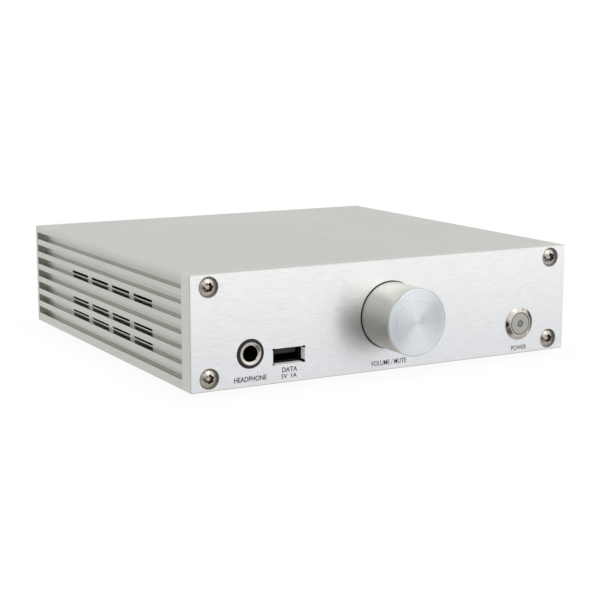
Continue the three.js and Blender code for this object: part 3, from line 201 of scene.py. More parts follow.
class Finish(Nodes):
    """A material whose nodes are written as expressions."""

    def __init__(self, name, **constants):
        self.material = bpy.data.materials.new(name)
        self.material.use_nodes = True
        super().__init__(self.material.node_tree)
        self.shader = self.tree.nodes["Principled BSDF"]
        self.drive(**constants)

    def drive(self, **values):
        """Sets or links sockets of the shader, which are named in small letters here."""
        for name, value in values.items():
            self.feed(self.shader.inputs[name.replace("_", " ").title().replace("Ior", "IOR")], value)

    def place(self):
        """The point on the piece, in millimetres."""
        return self.vector("SCALE", self.node("ShaderNodeTexCoord", output="Object"), scale=1 / MM)

    def normal(self):
        return self.node("ShaderNodeNewGeometry", output="Normal")

    def joined(self, x, y, z):
        return self.node("ShaderNodeCombineXYZ", None, {0: x, 1: y, 2: z})

    def vector(self, operation, first, second=None, scale=None):
        sockets = {0: first, 1: second, "Scale": scale}
        sockets = {name: value for name, value in sockets.items() if value is not None}
        return self.node("ShaderNodeVectorMath", {"operation": operation}, sockets)

    def leaning(self, normal, tilt):
        """The normal with a small vector added to it."""
        return self.vector("NORMALIZE", self.vector("ADD", normal, tilt))

    def noise(self, vector, scale, detail=2, roughness=0.5):
        sockets = {"Vector": vector, "Scale": scale, "Detail": detail, "Roughness": roughness}
        return self.node("ShaderNodeTexNoise", None, sockets)

    def line_noise(self, value, scale, detail=1):
        settings = {"noise_dimensions": "1D"}
        return self.node("ShaderNodeTexNoise", settings, {"W": value, "Scale": scale, "Detail": detail})

    def mixed(self, share, first, second):
        settings = {"data_type": "RGBA", "clamp_factor": True}
        return self.node("ShaderNodeMix", settings, {0: share, 6: first, 7: second}, output=2)

    def toned(self, share, colour, dark, light):
        """A colour between a darker and a lighter form of itself."""
        return self.mixed(share, shade(colour, dark), shade(colour, light))

    def bumped(self, height, strength, distance):
        sockets = {"Strength": strength, "Distance": distance, "Height": height}
        return self.node("ShaderNodeBump", None, sockets)


def rgb(red, green, blue):
    """A linear colour from the 0 to 255 values of a picture."""
    values = [value / 255 for value in (red, green, blue)]
    return [*(v / 12.92 if v <= 0.04045 else ((v + 0.055) / 1.055) ** 2.4 for v in values), 1]


def shade(colour, factor):
    return [*(value * factor for value in colour[:3]), 1]


# Finishes
def satin_aluminium(name, colour, roughness):
    """Blasted and anodised aluminium, with a fine grain and faint cloudiness."""
    finish = Finish(name, metallic=1)
    point = finish.place()
    x, _, z = finish.parts(point)
    cloud = finish.noise(point, 0.02, 3)
    grain = finish.noise(point, 3, 2, 0.7)
    tone = finish.between(cloud * 0.6 + grain * 0.4, 0.35, 0.65)
    inside_groove = finish.between(x.math("ABSOLUTE"), CASE_WIDTH / 2 + 0.2, CASE_WIDTH / 2 - 0.4)
    below_top = finish.between(z, CASE_LOW + CASE_HEIGHT - 0.5, CASE_LOW + CASE_HEIGHT - 1.5)
    shelf = finish.between(finish.parts(finish.normal())[2], 0.6, 0.9) * inside_groove * below_top
    finish.drive(
        base_color=finish.toned(tone, colour, 0.965, 1.03),
        roughness=grain * 0.06 + cloud * 0.04 + (roughness - 0.05) - shelf * (roughness - SHELF_ROUGHNESS),
        normal=finish.bumped(grain, 0.06, 0.00003),
    )
    return finish.material


def brushed_face():
    """Brushed along its length on the face, satin on the edges, with the well and the window apart, and with
    painted shade and light: darker low on the face, in the well and the pocket, near white on the window's
    walls.
    """
    finish = Finish("brushed_front_face", metallic=1)
    point = finish.place()
    x, y, z = finish.parts(point)
    face = finish.between(y, FACE_Y + 0.16, FACE_Y + 0.04)
    inside = finish.between(y, FACE_Y + 0.1, FACE_Y + 0.2)
    strands = finish.noise(finish.joined(x * STRAND_ALONG, 0, z * STRAND_UP), 1, 2, 0.6)
    threads = finish.noise(finish.joined(x * THREAD_ALONG + z * THREAD_SHEAR, 0, z * THREAD_UP), 1, 2, 0.6)
    tone = finish.between(strands * 0.5 + threads * 0.5, 0.36, 0.64)
    # Painted shade: the face's colour turns darker and bluer towards its lower edge, standing in for the
    # darker floor it reflects
    low = finish.between(z, CASE_LOW + CASE_HEIGHT - 2, CASE_LOW + 2)
    upper = finish.mixed(tone, FACE_DARK, FACE_LIGHT)
    bright = finish.mixed(low, upper, finish.toned(tone, FACE_LOW_SHADE, 0.98, 1.02))
    edge = finish.toned(finish.noise(point, 0.03, 2), EDGE_COLOUR, 0.98, 1.02)
    tilt = ((strands - 0.5) * STRAND_TILT + (threads - 0.5) * THREAD_TILT + BRUSHING_LEAN) * face
    reach = hypot(x, z - (CASE_LOW + KNOB_HEIGHT))
    # Painted shade: the knob's well is coloured a darker grey, and given a rougher, less metallic finish
    well = inside * finish.between(reach, WELL_RADIUS + 0.3, WELL_RADIUS + 0.1)
    across, up = (x - USB_X).math("ABSOLUTE"), (z - (CASE_LOW + USB_HEIGHT)).math("ABSOLUTE")
    right, top = WINDOW_WIDTH / 2, WINDOW_HEIGHT / 2
    # Painted shade: the pocket behind the USB window is coloured near black
    shadowed = finish.between(across, right + 1.5, right + 1.3) * finish.between(up, top + 1.75, top + 1.55)
    shadowed = inside * shadowed
    # Painted light: the USB window's walls are coloured near white and made non-metallic, so that they look
    # lit
    window = finish.between(across, right + 0.15, right + 0.05) * finish.between(up, top + 0.15, top + 0.05)
    window = shadowed * window * finish.between(y, FACE_Y + PANEL_WEB + 0.1, FACE_Y + PANEL_WEB)
    metal = finish.mixed(shadowed, finish.mixed(face, edge, bright), POCKET_SHADE)
    finish.drive(
        base_color=finish.mixed(window, finish.mixed(well, metal, WELL_SHADE), WINDOW_WALL_LIGHT),
        roughness=(threads - 0.5) * 0.1 + 0.48 - face * 0.19 + well * 0.3,
        metallic=1 - window - well * 0.5,
        normal=finish.leaning(finish.normal(), finish.joined(0, 0, tilt)),
    )
    return finish.material


def turned_metal(name, colours, roughness, axis, tilts, front, shade_start, shade_radius, pitch=7):
    """Metal turned about an axis along Y, its front and side apart, with rings that fan out the light, and
    painted shade on what lies deeper than a given depth within a given radius.
    """
    finish = Finish(name, metallic=1)
    x, y, z = finish.parts(finish.place())
    across, up = x - axis[0], z - (CASE_LOW + axis[1])
    radius = hypot(across, up) + TINY
    forward = finish.between(y, front + 0.3, front + 0.05)
    rings = finish.line_noise(radius + y, pitch, 2)
    fine = finish.line_noise(radius + y * 1.1, pitch * 4.1, 1)
    around = finish.node(
        "ShaderNodeVectorTransform",
        {"vector_type": "VECTOR", "convert_from": "OBJECT", "convert_to": "WORLD"},
        {0: finish.joined(up / radius * -1, 0, across / radius)},
    )
    normal = finish.normal()
    along = finish.vector("CROSS_PRODUCT", normal, around)
    lean = ((rings - 0.5) + (fine - 0.5)) * (forward * (tilts[0] - tilts[1]) + tilts[1])
    # Painted shade: what lies deeper than the start and within the radius is coloured dark, such as the
    # knob's skirt down in its well and the wall of the cap's eye round the lens
    hollow = finish.between(y, shade_start, shade_start + 0.1)
    hollow = hollow * finish.between(radius, shade_radius, shade_radius - 0.1)
    shine = finish.between(rings, 0.3, 0.7)
    front_tone, side_tone = (finish.toned(shine, colour, 0.98, 1.02) for colour in colours)
    finish.drive(
        base_color=finish.mixed(hollow, finish.mixed(forward, side_tone, front_tone), HOLLOW_SHADE),
        roughness=fine * 0.06 + roughness + hollow * 0.3,
        normal=finish.leaning(normal, finish.vector("SCALE", along, scale=lean)),
    )
    return finish.material


def plated_metal(name, colour, roughness, wear=0.06):
    """Smooth plated metal with faint smudges and fine scratches."""
    finish = Finish(name, metallic=1)
    point = finish.place()
    smudge = finish.noise(point, 0.35, 3)
    scratch = finish.noise(finish.vector("MULTIPLY", point, (7, 2, 0.6)), 1, 3, 0.7)
    finish.drive(
        base_color=finish.toned(smudge, colour, 0.94, 1.04),
        roughness=smudge * wear + scratch * wear + (roughness - wear / 2),
        normal=finish.bumped(scratch, 0.03, 0.00002),
    )
    return finish.material


def screw_metal(name, apex, side):
    """Bright plated screws whose recess walls carry painted shade, darker with their depth."""
    finish = Finish(name, metallic=1)
    point = finish.place()
    x, y, z = finish.parts(point)
    across = x.math("ABSOLUTE") - SCREW_X
    up = (z - (CASE_LOW + CASE_HEIGHT / 2)).math("ABSOLUTE") - (SCREW_HEIGHTS[1] - SCREW_HEIGHTS[0]) / 2
    # Painted shade: the recess's walls turn dark brown deeper in, while its floor keeps the metal's colour
    recess = finish.between(hypot(across, up), 2.5, 2.3) * finish.between((y - apex) * side, 0.25, 0.9)
    facing = finish.parts(finish.normal())[1].math("ABSOLUTE")
    recess = recess * finish.between(facing, 0.97, 0.8)
    smudge = finish.noise(point, 0.6, 3)
    finish.drive(
        base_color=finish.mixed(recess, finish.toned(smudge, NICKEL, 0.8, 0.93), RECESS_SHADE),
        roughness=smudge * 0.06 + 0.17 + recess * 0.1,
        normal=finish.bumped(smudge, 0.04, 0.00003),
    )
    return finish.material


def moulded_plastic(name, colour, roughness, grain=0.12):
    """Moulded plastic with a fine eroded grain."""
    finish = Finish(name, ior=1.46)
    point = finish.place()
    pits = finish.noise(point, 4, 3, 0.6)
    cloud = finish.noise(point, 0.2, 2)
    finish.drive(
        base_color=finish.toned(cloud * 0.5 + pits * 0.5, colour, 0.85, 1.2),
        roughness=pits * 0.1 + (roughness - 0.05),
        normal=finish.bumped(pits, grain, 0.00005),
    )
    return finish.material


def lens_plastic():
    """Translucent grey plastic with painted shade that makes it a little darker towards its rim."""
    finish = Finish("grey_lens", ior=1.5, roughness=0.22, coat_weight=0.3)
    x, _, z = finish.parts(finish.place())
    # Painted shade: darker towards the rim, where the lens meets the wall of its recess
    rim = finish.between(hypot(x - POWER_X, z - (CASE_LOW + POWER_HEIGHT)), 0.5, 1.5)
    finish.drive(base_color=finish.mixed(rim, rgb(128, 133, 131), rgb(104, 108, 106)))
    return finish.material


def circuit_board():
    """Solder mask over copper tracks on glass fibre."""
    finish = Finish("solder_mask", ior=1.5, coat_weight=0.4, coat_roughness=0.2)
    point = finish.place()
    cells = finish.node(
        "ShaderNodeTexVoronoi",
        {"feature": "DISTANCE_TO_EDGE", "distance": "CHEBYCHEV"},
        {"Vector": finish.vector("SNAP", point, (0.8, 0.8, 0.8)), "Scale": 0.16},
    )
    tracks = finish.between(cells, 0.03, 0.1, 1, 0)
    weave = finish.noise(point, 2.5, 2)
    mask = finish.mixed(tracks, rgb(22, 66, 46), rgb(38, 104, 70))
    finish.drive(
        base_color=finish.mixed(weave * 0.35, mask, rgb(18, 50, 36)),
        roughness=weave * 0.15 + 0.3,
        normal=finish.bumped(tracks, 0.3, 0.00004),
    )
    return finish.material


def capacitor_sleeve():
    """Dark shrink sleeve with a pale stripe down one side and a bare pressed top."""
    finish = Finish("capacitor_sleeve", ior=1.5)
    point = finish.place()
    stripe = finish.node("ShaderNodeTexWave", {"bands_direction": "X"}, {"Vector": point, "Scale": 0.021})
    grain = finish.noise(point, 2, 2)
    end = CASE_LOW + BOARD_TOP + CAPACITOR_HEIGHT
    top = finish.between(finish.parts(point)[2], end - 0.3, end)
    cover = finish.mixed(finish.between(stripe, 0.93, 0.97), rgb(30, 34, 44), rgb(150, 152, 156))
    finish.drive(
        base_color=finish.mixed(top, cover, rgb(176, 176, 172)),
        roughness=grain * 0.1 + 0.28,
        metallic=top,
    )
    return finish.material


def printed_ink():
    """Screen print, very slightly uneven."""
    finish = Finish("printed_ink", ior=1.45)
    cover = finish.noise(finish.place(), 6, 2)
    finish.drive(
        base_color=finish.mixed(cover, rgb(50, 50, 54), rgb(74, 74, 78)),
        roughness=cover * 0.2 + 0.45,
    )
    return finish.material


# Brushing of the face: noise cells per millimetre, and how far each kind of line leans its normal. The fine
# threads are sheared, so that their cells don't line up in columns
STRAND_ALONG, STRAND_UP, STRAND_TILT = 0.025, 2.1, 0.02
THREAD_ALONG, THREAD_SHEAR, THREAD_UP, THREAD_TILT = 0.2, 37, 62, 1.5
BRUSHING_LEAN = 0.08

CASE_COLOUR = rgb(206, 206, 200)
EDGE_COLOUR = rgb(214, 215, 209)
# The face's low colour is painted shade, darker and bluer towards the face's lower edge
FACE_DARK, FACE_LIGHT, FACE_LOW_SHADE = rgb(241, 241, 241), rgb(246, 246, 246), rgb(231, 233, 236)
# The well's grey is painted shade in the knob's well; the window's near white is painted light on the USB
# window's walls
WELL_SHADE, WINDOW_WALL_LIGHT = rgb(150, 149, 142), rgb(255, 253, 249)
KNOB_FRONT, KNOB_SIDE = rgb(230, 235, 240), rgb(208, 208, 201)
CAP_COLOUR = rgb(186, 185, 178)
# The pocket, hollow and recess colours are painted shade: behind the USB window, in the hollows of turned
# parts and on the walls of screw recesses
POCKET_SHADE, HOLLOW_SHADE, RECESS_SHADE = rgb(30, 30, 28), rgb(40, 40, 38), rgb(72, 62, 56)
NICKEL = rgb(214, 208, 200)
SHELF_ROUGHNESS = 0.2
ZINC = rgb(196, 196, 190)
BLACK = rgb(30, 29, 28)

SATIN = satin_aluminium("satin_case", CASE_COLOUR, 0.34)
BRUSHED = brushed_face()
TURNED = turned_metal("turned_knob", (KNOB_FRONT, KNOB_SIDE), 0.24, (0, KNOB_HEIGHT), (1.85, 0.5),
                      FACE_Y - KNOB_REACH, FACE_Y - 0.15, 100)
CAP_METAL = turned_metal("satin_button", (CAP_COLOUR, CAP_COLOUR), 0.34, (POWER_X, POWER_HEIGHT), (0.3, 0.3),
                         FACE_Y - CAP_PROUD, FACE_Y - CAP_PROUD + 0.1, 1.63)
PLATED = plated_metal("bright_nickel", NICKEL, 0.07, 0.03)
FRONT_SCREWS = screw_metal("front_screw_metal", FACE_Y - 0.6, 1)
REAR_SCREWS = screw_metal("rear_screw_metal", REAR_Y + 2.25, -1)
ZINCED = plated_metal("zinc_plate", ZINC, 0.32, 0.12)
GOLD = plated_metal("gold_plate", rgb(226, 190, 112), 0.22)
DARK_METAL = plated_metal("blackened_steel", rgb(46, 46, 46), 0.4)
PLASTIC = moulded_plastic("black_plastic", BLACK, 0.34)
DULL_PLASTIC = moulded_plastic("dull_black_plastic", rgb(38, 38, 38), 0.5, 0.2)
WHITE_PLASTIC = moulded_plastic("white_plastic", rgb(205, 203, 198), 0.4)
RED_PLASTIC = moulded_plastic("red_plastic", rgb(150, 30, 28), 0.4)
RUBBER = moulded_plastic("rubber", rgb(36, 36, 36), 0.8, 0.4)
LENS = lens_plastic()
BOARD = circuit_board()
CAPACITOR = capacitor_sleeve()
INK = printed_ink()


# Places on the object, as frames whose Z points out of it
def frame_of(right, up, x, y, z):
    right, up = Vector(right), Vector(up)
    turn = Matrix((right, up, right.cross(up))).transposed().to_4x4()
    return Matrix.Translation((x, y, z)) @ turn


def on_face(x=0, height=0):
    return frame_of((1, 0, 0), (0, 0, 1), x, FACE_Y, CASE_LOW + height)


def on_rear(x=0, height=0):
    return frame_of((-1, 0, 0), (0, 0, 1), x, REAR_Y, CASE_LOW + height)


def below(x, y):
    return frame_of((1, 0, 0), (0, -1, 0), x, y, CASE_LOW)


def standing(x, y, height):
    return frame_of((1, 0, 0), (0, 1, 0), x, y, CASE_LOW + height)


# Meshes
def shown(name, mesh):
    piece = bpy.data.objects.new(name, mesh)
    bpy.context.scene.collection.objects.link(piece)
    return piece


def from_bmesh(name, mesh):
    bmesh.ops.recalc_face_normals(mesh, faces=mesh.faces)
    data = bpy.data.meshes.new(name)
    mesh.to_mesh(data)
    mesh.free()
    return shown(name, data)


def softened(points, radius, steps=4, closed=False):
    """Rounds the corners of a line of points, each by as much as its sides allow."""
    points = [Vector(point) for point in points]
    count = len(points)
    result = []
    for index, corner in enumerate(points):
        if not closed and index in (0, count - 1):
            result.append(corner)
            continue
        before, after = points[index - 1] - corner, points[(index + 1) % count] - corner
        wanted = radius[index] if isinstance(radius, (list, tuple)) else radius
        if wanted <= 0 or before.length < TINY or after.length < TINY:
            result.append(corner)
            continue
        half = before.angle(after) / 2
        if half > math.radians(88):
            result.append(corner)
            continue
        reach = min(wanted / math.tan(half), 0.45 * before.length, 0.45 * after.length)
        start, end = corner + before.normalized() * reach, corner + after.normalized() * reach
        for step in range(steps + 1):
            share = step / steps
            result.append(start * (1 - share) ** 2 + corner * 2 * share * (1 - share) + end * share ** 2)
    return result


def stack(name, rings, closed=False):
    """Joins rings of points into one closed surface; a ring of one point is a tip."""
    mesh = bmesh.new()
    loops = [[mesh.verts.new(point) for point in ring] for ring in rings]
    pairs = list(zip(loops, loops[1:])) + ([(loops[-1], loops[0])] if closed else [])
    for low, high in pairs:
        for index in range(max(len(low), len(high))):
            corners = [low[index % len(low)], low[(index + 1) % len(low)],
                       high[(index + 1) % len(high)], high[index % len(high)]]
            corners = list(dict.fromkeys(corners))
            if len(corners) > 2:
                mesh.faces.new(corners)
    if not closed:
        for loop in (loops[0], loops[-1]):
            if len(loop) > 2:
                mesh.faces.new(loop)
    return from_bmesh(name, mesh)


def turned(name, profile, sides=96, closed=False):
    """Spins (radius, height) points about Z."""
    angles = [2 * math.pi * side / sides for side in range(sides)]
    rings = []
    for radius, height in profile:
        if radius < TINY:
            rings.append([(0, 0, height)])
        else:
            rings.append([(radius * math.cos(angle), radius * math.sin(angle), height) for angle in angles])
    return stack(name, rings, closed)


def turned_ring(name, profile, radius, steps, sides):
    """Spins a closed outline with softened corners about Z."""
    return turned(name, softened(profile, radius, steps, closed=True), sides, closed=True)


def rounded_rectangle(width, height, radius, x=0, y=0, steps=6):
    right, top = x + width / 2, y + height / 2
    left, low = x - width / 2, y - height / 2
    return softened([(left, low), (right, low), (right, top), (left, top)], radius, steps, closed=True)


def prism(name, outline, low, high):
    return stack(name, [[(x, y, height) for x, y in outline] for height in (low, high)])


def brick(name, low, high):
    outline = [(low[0], low[1]), (high[0], low[1]), (high[0], high[1]), (low[0], high[1])]
    return prism(name, outline, low[2], high[2])


def drill(radius, depth, x=0, y=0, edge=0.15, top=0, sides=64):
    """A cutting tool for a round hole with a small chamfer at its mouth."""
    tool = turned("tool", [(0, top - depth), (radius, top - depth), (radius, top - edge),
                           (radius + edge, top), (radius + edge, top + OVERRUN), (0, top + OVERRUN)], sides)
    tool.data.transform(Matrix.Translation((x, y, 0)))
    return tool


def baked(piece):
    """Turns a piece's modifiers into its plain mesh."""
    graph = bpy.context.evaluated_depsgraph_get()
    mesh = bpy.data.meshes.new_from_object(piece.evaluated_get(graph), depsgraph=graph)
    piece.modifiers.clear()
    piece.data = mesh
    return piece


def cut(piece, tools, joins=()):
    """Joins pieces on, cuts tools out and bakes the result."""
    for operation, others in (("UNION", joins), ("DIFFERENCE", tools)):
        for other in others:
            step = piece.modifiers.new("step", "BOOLEAN")
            step.operation = operation
            step.solver = "EXACT"
            step.object = other
    baked(piece)
    for other in (*joins, *tools):
        bpy.data.objects.remove(other)
    return piece


def eased(piece, width, segments=2, angle=40):
    """Breaks the sharp edges of a piece."""
    step = piece.modifiers.new("edges", "BEVEL")
    step.width = width
    step.segments = segments
    step.limit_method = "ANGLE"
    step.angle_limit = math.radians(angle)
    return baked(piece)


def coat(piece, material):
    piece.data.materials.clear()
    piece.data.materials.append(material)


def put(piece, name, place, body, material, nodes=(), angle=32):
    """Moves a finished piece to its place, smooths and coats it, hangs it on its body's empty and hides the
    frame's nodes it stands for.
    """
    piece.data.transform(Matrix.Scale(MM, 4) @ place)
    piece.name = piece.data.name = name
    for face in piece.data.polygons:
        face.use_smooth = True
    piece.data.set_sharp_from_angle(angle=math.radians(angle))
    coat(piece, material)
    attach(piece, body)
    if nodes:
        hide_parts(*nodes)
    return piece


# Patterns of repeated pieces
def pattern_tree():
    """Repeats a piece over rows and columns, each copy turned a little by its seed."""
    tree = bpy.data.node_groups.new("repeated_piece", "GeometryNodeTree")
    for name, kind in (("Piece", "Object"), ("Columns", "Int"), ("Rows", "Int"), ("Column Step", "Vector"),
                       ("Row Step", "Vector"), ("Start", "Vector"), ("Turn", "Float"), ("Seed", "Int"),
                       ("Finish", "Material")):
        tree.interface.new_socket(name, in_out="INPUT", socket_type=f"NodeSocket{kind}")
    tree.interface.new_socket("Geometry", in_out="OUTPUT", socket_type="NodeSocketGeometry")
    add = Nodes(tree).node
    given = add("NodeGroupInput").other
    row = add("GeometryNodeMeshLine", {"mode": "OFFSET"},
              {"Count": given("Columns"), "Start Location": given("Start"), "Offset": given("Column Step")})
    column = add("GeometryNodeMeshLine", {"mode": "OFFSET"},
                 {"Count": given("Rows"), "Start Location": (0, 0, 0), "Offset": given("Row Step")})
    rows = add("GeometryNodeInstanceOnPoints", None, {"Points": column, "Instance": row})
    points = add("GeometryNodeRealizeInstances", None, {0: rows})
    settings = {"transform_space": "ORIGINAL"}
    source = add("GeometryNodeObjectInfo", settings, {"Object": given("Piece")}, "Geometry")
    turn = add("FunctionNodeRandomValue", {"data_type": "FLOAT"}, {"Seed": given("Seed")}, 1)
    spin = add("ShaderNodeCombineXYZ", None, {2: turn * given("Turn")})
    sockets = {"Points": points, "Instance": source, "Rotation": spin}
    copies = add("GeometryNodeInstanceOnPoints", None, sockets)
    solid = add("GeometryNodeRealizeInstances", None, {0: copies})
    coated = add("GeometryNodeSetMaterial", None, {"Geometry": solid, "Material": given("Finish")})
    add("NodeGroupOutput", None, {0: coated})
    return tree


PATTERN = pattern_tree()


def repeated(piece, columns, rows=1, column_step=(0, 0, 0), row_step=(0, 0, 0), start=(0, 0, 0), turn=0.0,
             seed=0, finish=None):
    """Copies a piece over a grid and returns one plain mesh."""
    holder = shown(piece.name, bpy.data.meshes.new(piece.name))
    step = holder.modifiers.new("pattern", "NODES")
    step.node_group = PATTERN
    values = {"Piece": piece, "Columns": columns, "Rows": rows, "Column Step": column_step,
              "Row Step": row_step, "Start": start, "Turn": turn, "Seed": seed, "Finish": finish}
    for socket in PATTERN.interface.items_tree:
        if socket.in_out == "INPUT":
            step[socket.identifier] = values[socket.name]
    baked(holder)
    bpy.data.objects.remove(piece)
    return holder


# Case
def groove_top(order):
    return CASE_HEIGHT - TOP_RIDGE - order * GROOVE_PITCH


def sleeve_outline():
    half = CASE_WIDTH / 2
    side, radii = [], []
    for order in reversed(range(GROOVES)):
        top = groove_top(order)
        low = top - GROOVE_HEIGHT
        inner = half - GROOVE_DEPTH
        side += [(half, low), (inner, low), (inner, top), (half, top)]
        radii += [RIDGE_EDGE, GROOVE_FILLET, GROOVE_FILLET, RIDGE_EDGE]
    outline = [(half, 0), *side, (half, CASE_HEIGHT), (-half, CASE_HEIGHT)]
    outline += [(-x, y) for x, y in reversed(side)] + [(-half, 0)]
    radii = [CORNER_RADIUS, *radii, CORNER_RADIUS, CORNER_RADIUS, *reversed(radii), CORNER_RADIUS]
    return softened(outline, radii, 4, closed=True)


def sleeve():
    """An extrusion along Y, made along Z in the face's frame and cut open for its cavity and vents."""
    front, rear = -FRONT_PLATE - SEAM, FACE_Y - REAR_Y + REAR_PLATE + SEAM
    body = prism("case_sleeve", sleeve_outline(), rear, front)
    inner = CASE_WIDTH / 2 - GROOVE_DEPTH - GROOVE_WEB
    cavity = prism("cavity", rounded_rectangle(2 * inner, CASE_HEIGHT - 2 * WALL, 0.8, 0, CASE_HEIGHT / 2, 3),
                   rear - OVERRUN, front + OVERRUN)
    kept = []
    for side in (-1, 1):
        rib_x = side * BOARD_RIB_X
        kept.append(brick("rib", (rib_x - BOARD_RIB_WIDTH / 2, WALL - OVERRUN, rear - 2 * OVERRUN),
                          (rib_x + BOARD_RIB_WIDTH / 2, BOARD_UNDERSIDE - SEAM, front + 2 * OVERRUN)))
        for height in SCREW_HEIGHTS:
            boss = turned("boss", [(0, rear - 2 * OVERRUN), (BOSS_RADIUS, rear - 2 * OVERRUN),
                                   (BOSS_RADIUS, front + 2 * OVERRUN), (0, front + 2 * OVERRUN)], 32)
            boss.data.transform(Matrix.Translation((side * SCREW_X, height, 0)))
            kept.append(boss)
    cut(cavity, kept)
    tools = [cavity]
    for side in (-1, 1):
        for height in SCREW_HEIGHTS:
            tools.append(drill(SCREW_BORE, front - rear + OVERRUN, side * SCREW_X, height, 0.1, front, 24))
    middle = (front + rear) / 2
    for side in (-1, 1):
        for order in VENTED_GROOVES:
            low = groove_top(order) - GROOVE_HEIGHT + VENT_SILL
            outline = rounded_rectangle(VENT_LENGTH, VENT_HEIGHT, VENT_CORNER, 0, low + VENT_HEIGHT / 2, 4)
            slot = prism("vent", outline, inner - OVERRUN, CASE_WIDTH / 2 - GROOVE_DEPTH + OVERRUN)
            slot.data.transform(Matrix.Rotation(side * math.pi / 2, 4, "Y"))
            start = middle - (VENTS - 1) / 2 * VENT_PITCH
            tools.append(repeated(slot, VENTS, column_step=(0, 0, VENT_PITCH), start=(0, 0, start)))
    for x in (-FOOT_X, FOOT_X):
        for y in (-FOOT_Y, FOOT_Y):
            hole = drill(1.6, WALL + OVERRUN, 0, 0, 0.1, 0, 24)
            place = Matrix.Translation((x, 0, -(y + CASE_DEPTH / 2)))
            hole.data.transform(place @ Matrix.Rotation(math.pi / 2, 4, "X"))
            tools.append(hole)
    cut(body, tools)
    put(body, "sleeve", on_face(), "case", SATIN, ["case_sleeve"])


def plate_rings(thickness, chamfer, back_chamfer):
    """A plate's outline at each height, drawn in by its chamfers."""
    rings = []
    levels = (chamfer, 0), (0, -chamfer), (0, back_chamfer - thickness), (back_chamfer, -thickness)
    for inset, height in levels:
        radius = CORNER_RADIUS - inset * 0.6
        width, tall = CASE_WIDTH - 2 * inset, CASE_HEIGHT - 2 * inset
        outline = rounded_rectangle(width, tall, radius, 0, CASE_HEIGHT / 2)
        rings.append([(x, y, height) for x, y in outline])
    return rings


def slot_tool(width, height, x, y, edge, depth):
    """A cutting tool for a rectangular window with a small chamfer at its mouth."""
    rings = []
    for grow, level in ((0, -depth), (0, -edge), (edge, 0), (edge, OVERRUN)):
        outline = rounded_rectangle(width + 2 * grow, height + 2 * grow, 0.2 + grow, x, y, 3)
        rings.append([(px, py, level) for px, py in outline])
    return stack("window", rings)


def knob_well():
    """The ring-shaped well that the knob's skirt runs in."""
    ring = [(LAND_RADIUS, -WELL_DEPTH), (WELL_RADIUS, -WELL_DEPTH),
            (WELL_RADIUS, OVERRUN), (LAND_RADIUS, OVERRUN)]
    well = turned("well", ring, 128, closed=True)
    well.data.transform(Matrix.Translation((0, KNOB_HEIGHT, 0)))
    return well


def pocket(x, reach, top):
    """A cutting tool for the room that a socket takes behind the face, down to the board."""
    low = BOARD_TOP - 0.5
    return brick("pocket", (x - reach, low, -FRONT_PLATE - OVERRUN), (x + reach, top, -PANEL_WEB))


def front_plate():
    body = stack("front", plate_rings(FRONT_PLATE, FACE_CHAMFER, 0.05))
    deep = FRONT_PLATE + OVERRUN
    tools = [
        drill(6.35, deep, JACK_X, JACK_HEIGHT),
        pocket(JACK_X, 8.5, JACK_HEIGHT + 6.7),
        slot_tool(WINDOW_WIDTH, WINDOW_HEIGHT, USB_X, USB_HEIGHT, 0.12, PANEL_WEB + OVERRUN),
        pocket(USB_X, 7.2, USB_HEIGHT + 3.5),
        drill(3.6, deep, 0, KNOB_HEIGHT),
        brick("pocket", (-7.2, KNOB_HEIGHT - 7.2, -deep), (7.2, KNOB_HEIGHT + 7.2, -3)),
        drill(6.1, deep, POWER_X, POWER_HEIGHT),
        knob_well(),
    ]
    for side in (-1, 1):
        for rise in (-1, 1):
            x, height = USB_X + side * RELIEF_X, USB_HEIGHT + rise * RELIEF_RISE
            tools.append(drill(RELIEF_RADIUS, PANEL_WEB + OVERRUN, x, height, 0.1, 0, 24))
        for height in SCREW_HEIGHTS:
            tools.append(drill(SCREW_BORE, deep, side * SCREW_X, height, 0.1, -1, 32))
            tools.append(drill(COUNTERBORE_RADIUS, COUNTERBORE_DEPTH, side * SCREW_X, height, 0.06, 0, 96))
    cut(body, tools)
    put(body, "front_panel", on_face(), "case", BRUSHED, ["front_plate"])


def rear_plate():
    body = stack("rear", plate_rings(REAR_PLATE, 0.4, 0.05))
    deep = REAR_PLATE + OVERRUN
    tools = [
        drill(4.1, deep, -DC_X, DC_HEIGHT),
        slot_tool(12.2, 11, -USB_B_X, USB_B_HEIGHT, 0.12, deep),
    ]
    for column in LINE_COLUMNS:
        for row in LINE_ROWS:
            tools.append(drill(4.25, deep, -column, row))
    for side in (-1, 1):
        for height in SCREW_HEIGHTS:
            tools.append(drill(SCREW_BORE, deep, side * SCREW_X, height, 0.2, 0, 32))
    cut(body, tools)
    put(body, "rear_panel", on_rear(), "case", SATIN, ["rear_plate"])


